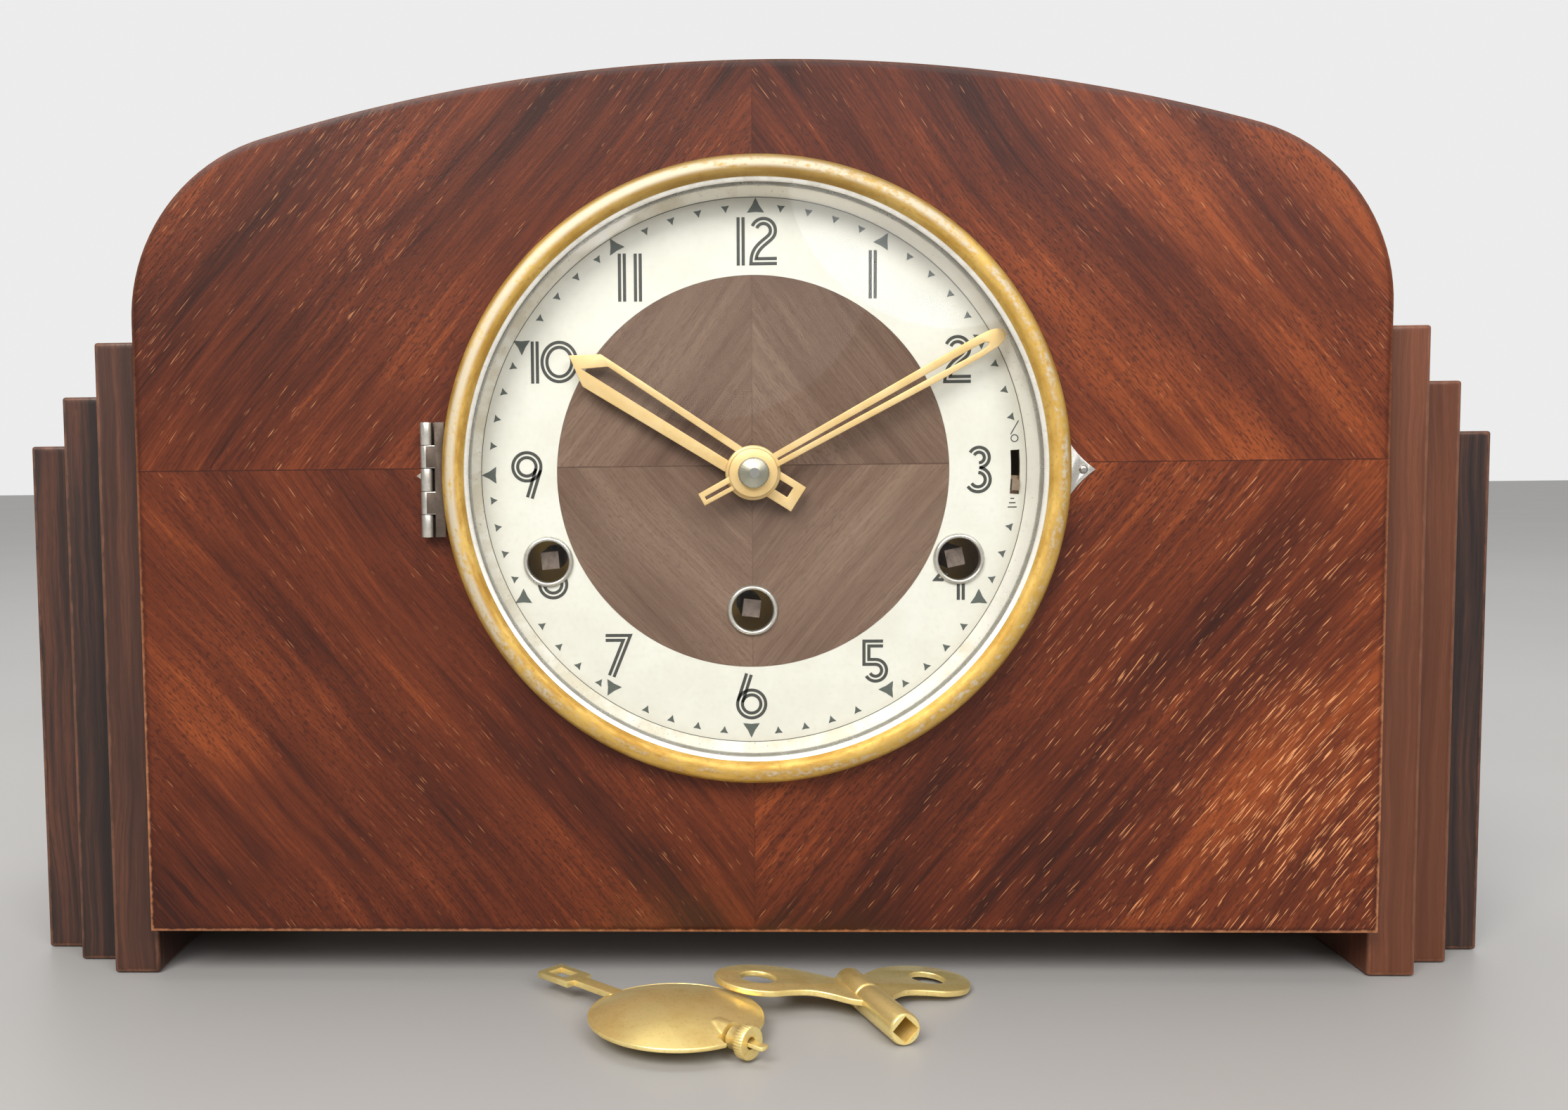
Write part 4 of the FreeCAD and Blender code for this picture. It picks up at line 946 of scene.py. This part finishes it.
hand("hour_hand", "pierced", [hour_blade, hour_slit], 6.4, 3.2, 0.6, 0.0, 1.8, ("hour_hand",))
hand("hour_hand", "tail", hour_tail, 4.2, 3.2, 0.6, 0.4, 1.0, ())

nut = [(0, -4.25), (0.5, -4.2), (3.2, -3.55), (3.5, -3.3), (3.6, -2.9), (3.6, -2.35), (3.4, -2.3),
       (0, -2.3)]
points, faces = lathe(nut, z=DIAL_Z, steps=180)
scalloped = []
for x, depth, z in points:
    radius = math.hypot(x, z - DIAL_Z)
    turn = math.atan2(x, z - DIAL_Z)
    if radius > 3.25:
        radius -= 0.11 * max(0.0, math.cos(turn * 30)) ** 2
    scalloped.append((radius * math.sin(turn), depth, DIAL_Z + radius * math.cos(turn)))
build("spun_nut", (scalloped, faces), "spun", "minute_hand", "nickel", ("hand_nut",), angle=40)


# ---- the loose pendulum and key ----

def laid(centre, turn, roll=0.0):
    """A function that turns a loose piece's points, whose X is along its rod or wings, into places."""
    spin = Matrix.Rotation(turn, 3, "Z") @ Matrix.Rotation(roll, 3, "Y")

    def put(point):
        moved = spin @ Vector(point)
        return centre[0] + moved.x, centre[1] + moved.y, centre[2] + moved.z
    return put


on_bob = laid((-18.8, -32.2, 4.0), math.radians(-43.7))
LENS_RADIUS, LENS_HALF, LENS_EDGE = 18.7, 4.0, 0.4
SLEEVE_START, SLEEVE_HALF, SLEEVE_TALL = 10.5, 2.9, 2.35


def bob_height(x, y, side):
    """The lens, swollen where the rod's sleeve comes out at the nut's end."""
    lens = LENS_HALF - (LENS_HALF - LENS_EDGE) * (math.hypot(x, y) / LENS_RADIUS) ** 2
    if x > SLEEVE_START and abs(y) < SLEEVE_HALF and side > 0:
        sleeve = SLEEVE_TALL * math.sqrt(1 - (y / SLEEVE_HALF) ** 2) + 0.55
        return max(lens, sleeve * min(1.0, (x - SLEEVE_START) / 1.2))
    return lens


def pendulum_bob():
    steps = 240
    lens_radii = [LENS_RADIUS * (step / 56) ** 0.9 for step in range(1, 57)]
    points, faces, rims = [], [], []

    def add_ring(radius, height):
        start = len(points)
        for y, x in ring(radius, steps):
            points.append((x, y, height(x, y)))
        return range(start, len(points))

    for side in (1, -1):
        points.append((0, 0, side * LENS_HALF))
        before = [len(points) - 1] * steps
        for radius in lens_radii:
            row = add_ring(radius, lambda x, y: side * bob_height(x, y, side))
            faces += between(before, row)
            before = row
        rims.append(before)
    # a rolled rim joins the two faces
    before = rims[0]
    for radius, tall in ((18.78, 0.5), (18.95, 0.48), (19.06, 0.3), (19.1, 0.0), (19.06, -0.3),
                         (18.95, -0.48), (18.78, -0.5)):
        row = add_ring(radius, lambda x, y: tall)
        faces += between(before, row)
        before = row
    faces += between(before, rims[1])
    bob = build("lens_bob", ([on_bob(point) for point in points], faces), "brass", "pendulum", "brass",
                ("pendulum_bob",), angle=55)
    # the notch that leaves room for the rating nut
    cutter = bmesh.new()
    bmesh.ops.create_cube(cutter, size=1)
    for vertex in cutter.verts:
        along = 15.9 if vertex.co.x < 0 else 24.0
        vertex.co = at(*on_bob((along, math.copysign(4.4, vertex.co.y), math.copysign(8.0, vertex.co.z))))
    tool = linked("notch", settled("notch", cutter))
    notch = bob.modifiers.new("notch", "BOOLEAN")
    notch.operation, notch.solver, notch.object = "DIFFERENCE", "EXACT", tool
    shaped = bpy.data.meshes.new_from_object(bob.evaluated_get(bpy.context.evaluated_depsgraph_get()))
    bob.modifiers.clear()
    bob.data = shaped
    bpy.data.objects.remove(tool)


def along_x(profile, steps):
    """A profile of (radius, x) turned about the X axis, as (x, y, z) points and faces."""
    points, faces = lathe(profile, steps=steps)
    return [(depth, x, z) for x, depth, z in points], faces


def flat_piece(name, outlines, thick, bevel, put, body, replaces=(), height=0.0):
    """A bevelled brass plate drawn in a loose piece's own X and Y."""
    mesh = plate_mesh(outlines, thick, bevel)
    for vertex in mesh.vertices:
        x, y, z = vertex.co / MM
        vertex.co = at(*put((x, y, z + height)))
    return adopt(name, mesh, "brass", body, "brass", replaces, angle=45)


def mirrored(half):
    """An outline from its half on one side of the X axis."""
    return half + [(x, -y) for x, y in reversed(half)]


pendulum_bob()
rod = mirrored([(16.0, 1.7), (-30.6, 1.7), (-30.9, 3.7), (-40.9, 3.8), (-41.3, 3.4)])
eye = [(-33.6, -2.0), (-33.6, 2.0), (-39.2, 2.0), (-39.2, -2.0)]
flat_piece("pendulum_strip", [rod, eye], 1.4, 0.14, on_bob, "pendulum", ("pendulum_rod",))
tongue = mirrored([(15.6, 1.2), (24.9, 1.2), (25.2, 0.9)])
flat_piece("pendulum_tongue", [tongue], 0.8, 0.1, on_bob, "pendulum")
nut_wall = [(1.3, 16.45), (2.3, 16.45), (2.45, 16.6), (2.45, 19.0), (2.7, 19.3), (3.35, 19.35),
            (3.58, 19.55), (3.58, 21.35), (3.35, 21.6), (1.6, 21.6), (1.3, 21.4)]
points, faces = along_x(closed(nut_wall), 144)
knurled = []
for x, y, z in points:
    radius, turn = math.hypot(y, z), math.atan2(z, y)
    if radius > 3.5:
        radius -= 0.12 * (0.5 + 0.5 * math.cos(turn * 36))
    knurled.append((x, radius * math.cos(turn), radius * math.sin(turn)))
build("rating_nut_knurled", ([on_bob(point) for point in knurled], faces), "brass", "rating_nut", "brass",
      ("rating_nut",), angle=40)

on_key = laid((20.7, -9.3, 3.5), math.radians(17), math.radians(6))


def wing_outline():
    """Two round wings swept back from the waist where they hold the barrel."""
    lobe = [(1.4, -1.4), (3.4, 0.0), (6.6, 2.5), (10.5, 5.6), (15.5, 7.7), (21.3, 8.2), (26.6, 6.6),
            (30.2, 3.1), (31.1, -0.8), (29.8, -5.1), (26.3, -8.7), (21.4, -10.0), (16.5, -9.2),
            (11.6, -9.2), (7.8, -11.5), (4.6, -14.6), (1.4, -16.0)]
    right = []
    for k in range(len(lobe) - 1):
        before, start = Vector(lobe[max(0, k - 1)]), Vector(lobe[k])
        end, after = Vector(lobe[k + 1]), Vector(lobe[min(len(lobe) - 1, k + 2)])
        right.append(tuple(start))
        right += bend(start, start + (end - before) / 6, end - (after - start) / 6, end, 4)[:-1]
    right.append(lobe[-1])
    return right + [(-x, y) for x, y in reversed(right)]


WING_SHIFT = -1.1
holes = [arc(side * 21.1, -0.4, 4.1, 0, 360, 40)[:-1] for side in (-1, 1)]
wings = [[(x + WING_SHIFT, y) for x, y in outline] for outline in (wing_outline(), *holes)]
flat_piece("key_wings", wings, 1.4, 0.28, on_key, "winding_key", height=0.5)


def key_barrel():
    """The barrel, with a turned groove, a rounded mouth and a square hole set at a slant."""
    body = [(0, -0.05), (2.9, -0.05), (3.3, -0.2), (3.5, -0.6), (3.5, -10.9), (3.42, -11.3), (3.18, -11.5),
            (3.18, -12.2), (3.42, -12.4), (3.5, -12.8), (3.5, -29.6), (3.38, -30.05), (3.15, -30.3)]
    steps, slant, mouth_half, bore_half = 96, 38, 2.12, 2.04
    points, faces = lathe(body, steps=steps)
    mouth = len(points) - steps + round(slant / 360 * steps)
    rows = [[*range(mouth, len(points)), *range(len(points) - steps, mouth)]]
    for depth, half in ((-30.3, mouth_half), (-30.1, bore_half), (-15.5, bore_half)):
        rows.append(range(len(points), len(points) + steps))
        for step in range(steps):
            turn = math.tau * step / steps
            radius = half / max(abs(math.sin(turn)), abs(math.cos(turn)))
            turn += math.radians(slant)
            points.append((radius * math.sin(turn), depth, radius * math.cos(turn)))
    for one, two in zip(rows, rows[1:]):
        faces += between(one, two)
    faces.append(rows[-1])
    build("key_barrel", ([on_key(point) for point in points], faces), "brass", "winding_key", "brass",
          ("winding_key",), angle=45)


key_barrel()


# ---- finishes of the CAD parts that show as they are ----

CARRIED = {
    "shell": "top_shell",
    "edge": "front_panel seat_rails",
    "plain": "back_frame back_door",
    "disc": "dial_centre",
    "paper": "chapter_ring",
    "plates": "dial_plate movement_front_plate movement_back_plate plate_pillars dial_posts turn_button "
              "suspension_bracket back_hinge_fixed_leaves back_hinge_moving_leaves",
    "drum": "time_barrel strike_barrel chime_barrel minute_wheel hour_wheel hammer_1 hammer_2 hammer_3 "
            "hammer_4 pendulum_leader",
    "steel": "centre_arbor hammer_arbor back_hinge_pins turn_button_screw bezel_hinge_pin chime_rods",
    "square": "time_winding_arbor strike_winding_arbor chime_winding_arbor",
    "lever": "chime_lever",
    "nickel": "glass_retainer",
    "iron": "rod_block",
}
for look, names in CARRIED.items():
    for name in names.split():
        mesh = NODES[name].data
        mesh.materials.clear()
        mesh.materials.append(LOOKS[look])


# ---- floor, light and camera ----

def studio_floor():
    look = Look("studio_floor")
    x, y, _ = look.place()
    drift = look.noise(x * 0.004, y * 0.004, 0.0, 3.0)
    look.finish(look.mix(drift, (151.1, 148.9, 146.6), (161.7, 159.7, 157.6)), 0.45)
    mesh = bpy.data.meshes.new("floor")
    wide = 8.0
    corners = [(-wide, -wide, 0), (wide, -wide, 0), (wide, wide, 0), (-wide, wide, 0)]
    mesh.from_pydata(corners, [], [(0, 1, 2, 3)])
    mesh.materials.append(look.material)
    floor = linked("floor", mesh)
    floor.location.z = -0.0002


def studio_light():
    """A pale surround, dimmer in front of the clock, and four soft lamps."""
    world = bpy.data.worlds.new("studio")
    world.use_nodes = True
    sky, join_sky = world.node_tree.nodes, world.node_tree.links
    facing = sky.new("ShaderNodeTexCoord")
    split = sky.new("ShaderNodeSeparateXYZ")
    fade = sky.new("ShaderNodeMapRange")
    for name, number in (("From Min", -0.5), ("From Max", 0.4), ("To Min", 0.26), ("To Max", 0.84)):
        fade.inputs[name].default_value = number
    join_sky.new(facing.outputs["Generated"], split.inputs[0])
    join_sky.new(split.outputs[1], fade.inputs["Value"])
    join_sky.new(fade.outputs["Result"], sky["Background"].inputs["Color"])
    bpy.context.scene.world = world
    for name, spot, size, power, colour in (
            ("key", (-0.7, -1.5, 1.4), 1.1, 42, (1.0, 0.98, 0.95)),
            ("fill", (0.8, -1.6, 1.2), 1.2, 24, (0.97, 0.98, 1.0)),
            ("front", (-0.1, -2.2, 1.1), 1.6, 7, (1.0, 0.99, 0.97)),
            ("top", (0.0, 0.3, 1.8), 1.3, 12, (1.0, 1.0, 1.0))):
        data = bpy.data.lights.new(name, "AREA")
        data.shape, data.size, data.energy, data.color = "DISK", size, power, colour
        lamp = linked(name, data)
        lamp.location = spot
        lamp.rotation_euler = (Vector((0, 0, 0.1)) - Vector(spot)).to_track_quat("-Z", "Y").to_euler()


def studio_camera():
    """A close camera in front of the clock, a little to the left and looking slightly down."""
    data = bpy.data.cameras.new("camera")
    data.sensor_width = 36.0
    data.lens = 33.47
    data.shift_x, data.shift_y = 0.1034, 0.0077
    data.clip_start = 0.01
    camera = linked("camera", data)
    pan, tilt, roll = 0.0376, math.radians(90) - 0.0678, -0.0102
    camera.matrix_world = (Matrix.Translation(at(-17.89, -339.59, 122.08)) @ Matrix.Rotation(pan, 4, "Z")
                           @ Matrix.Rotation(tilt, 4, "X") @ Matrix.Rotation(roll, 4, "Z"))
    bpy.context.scene.camera = camera
    bpy.context.scene.view_settings.view_transform = "Standard"


studio_floor()
studio_light()
studio_camera()
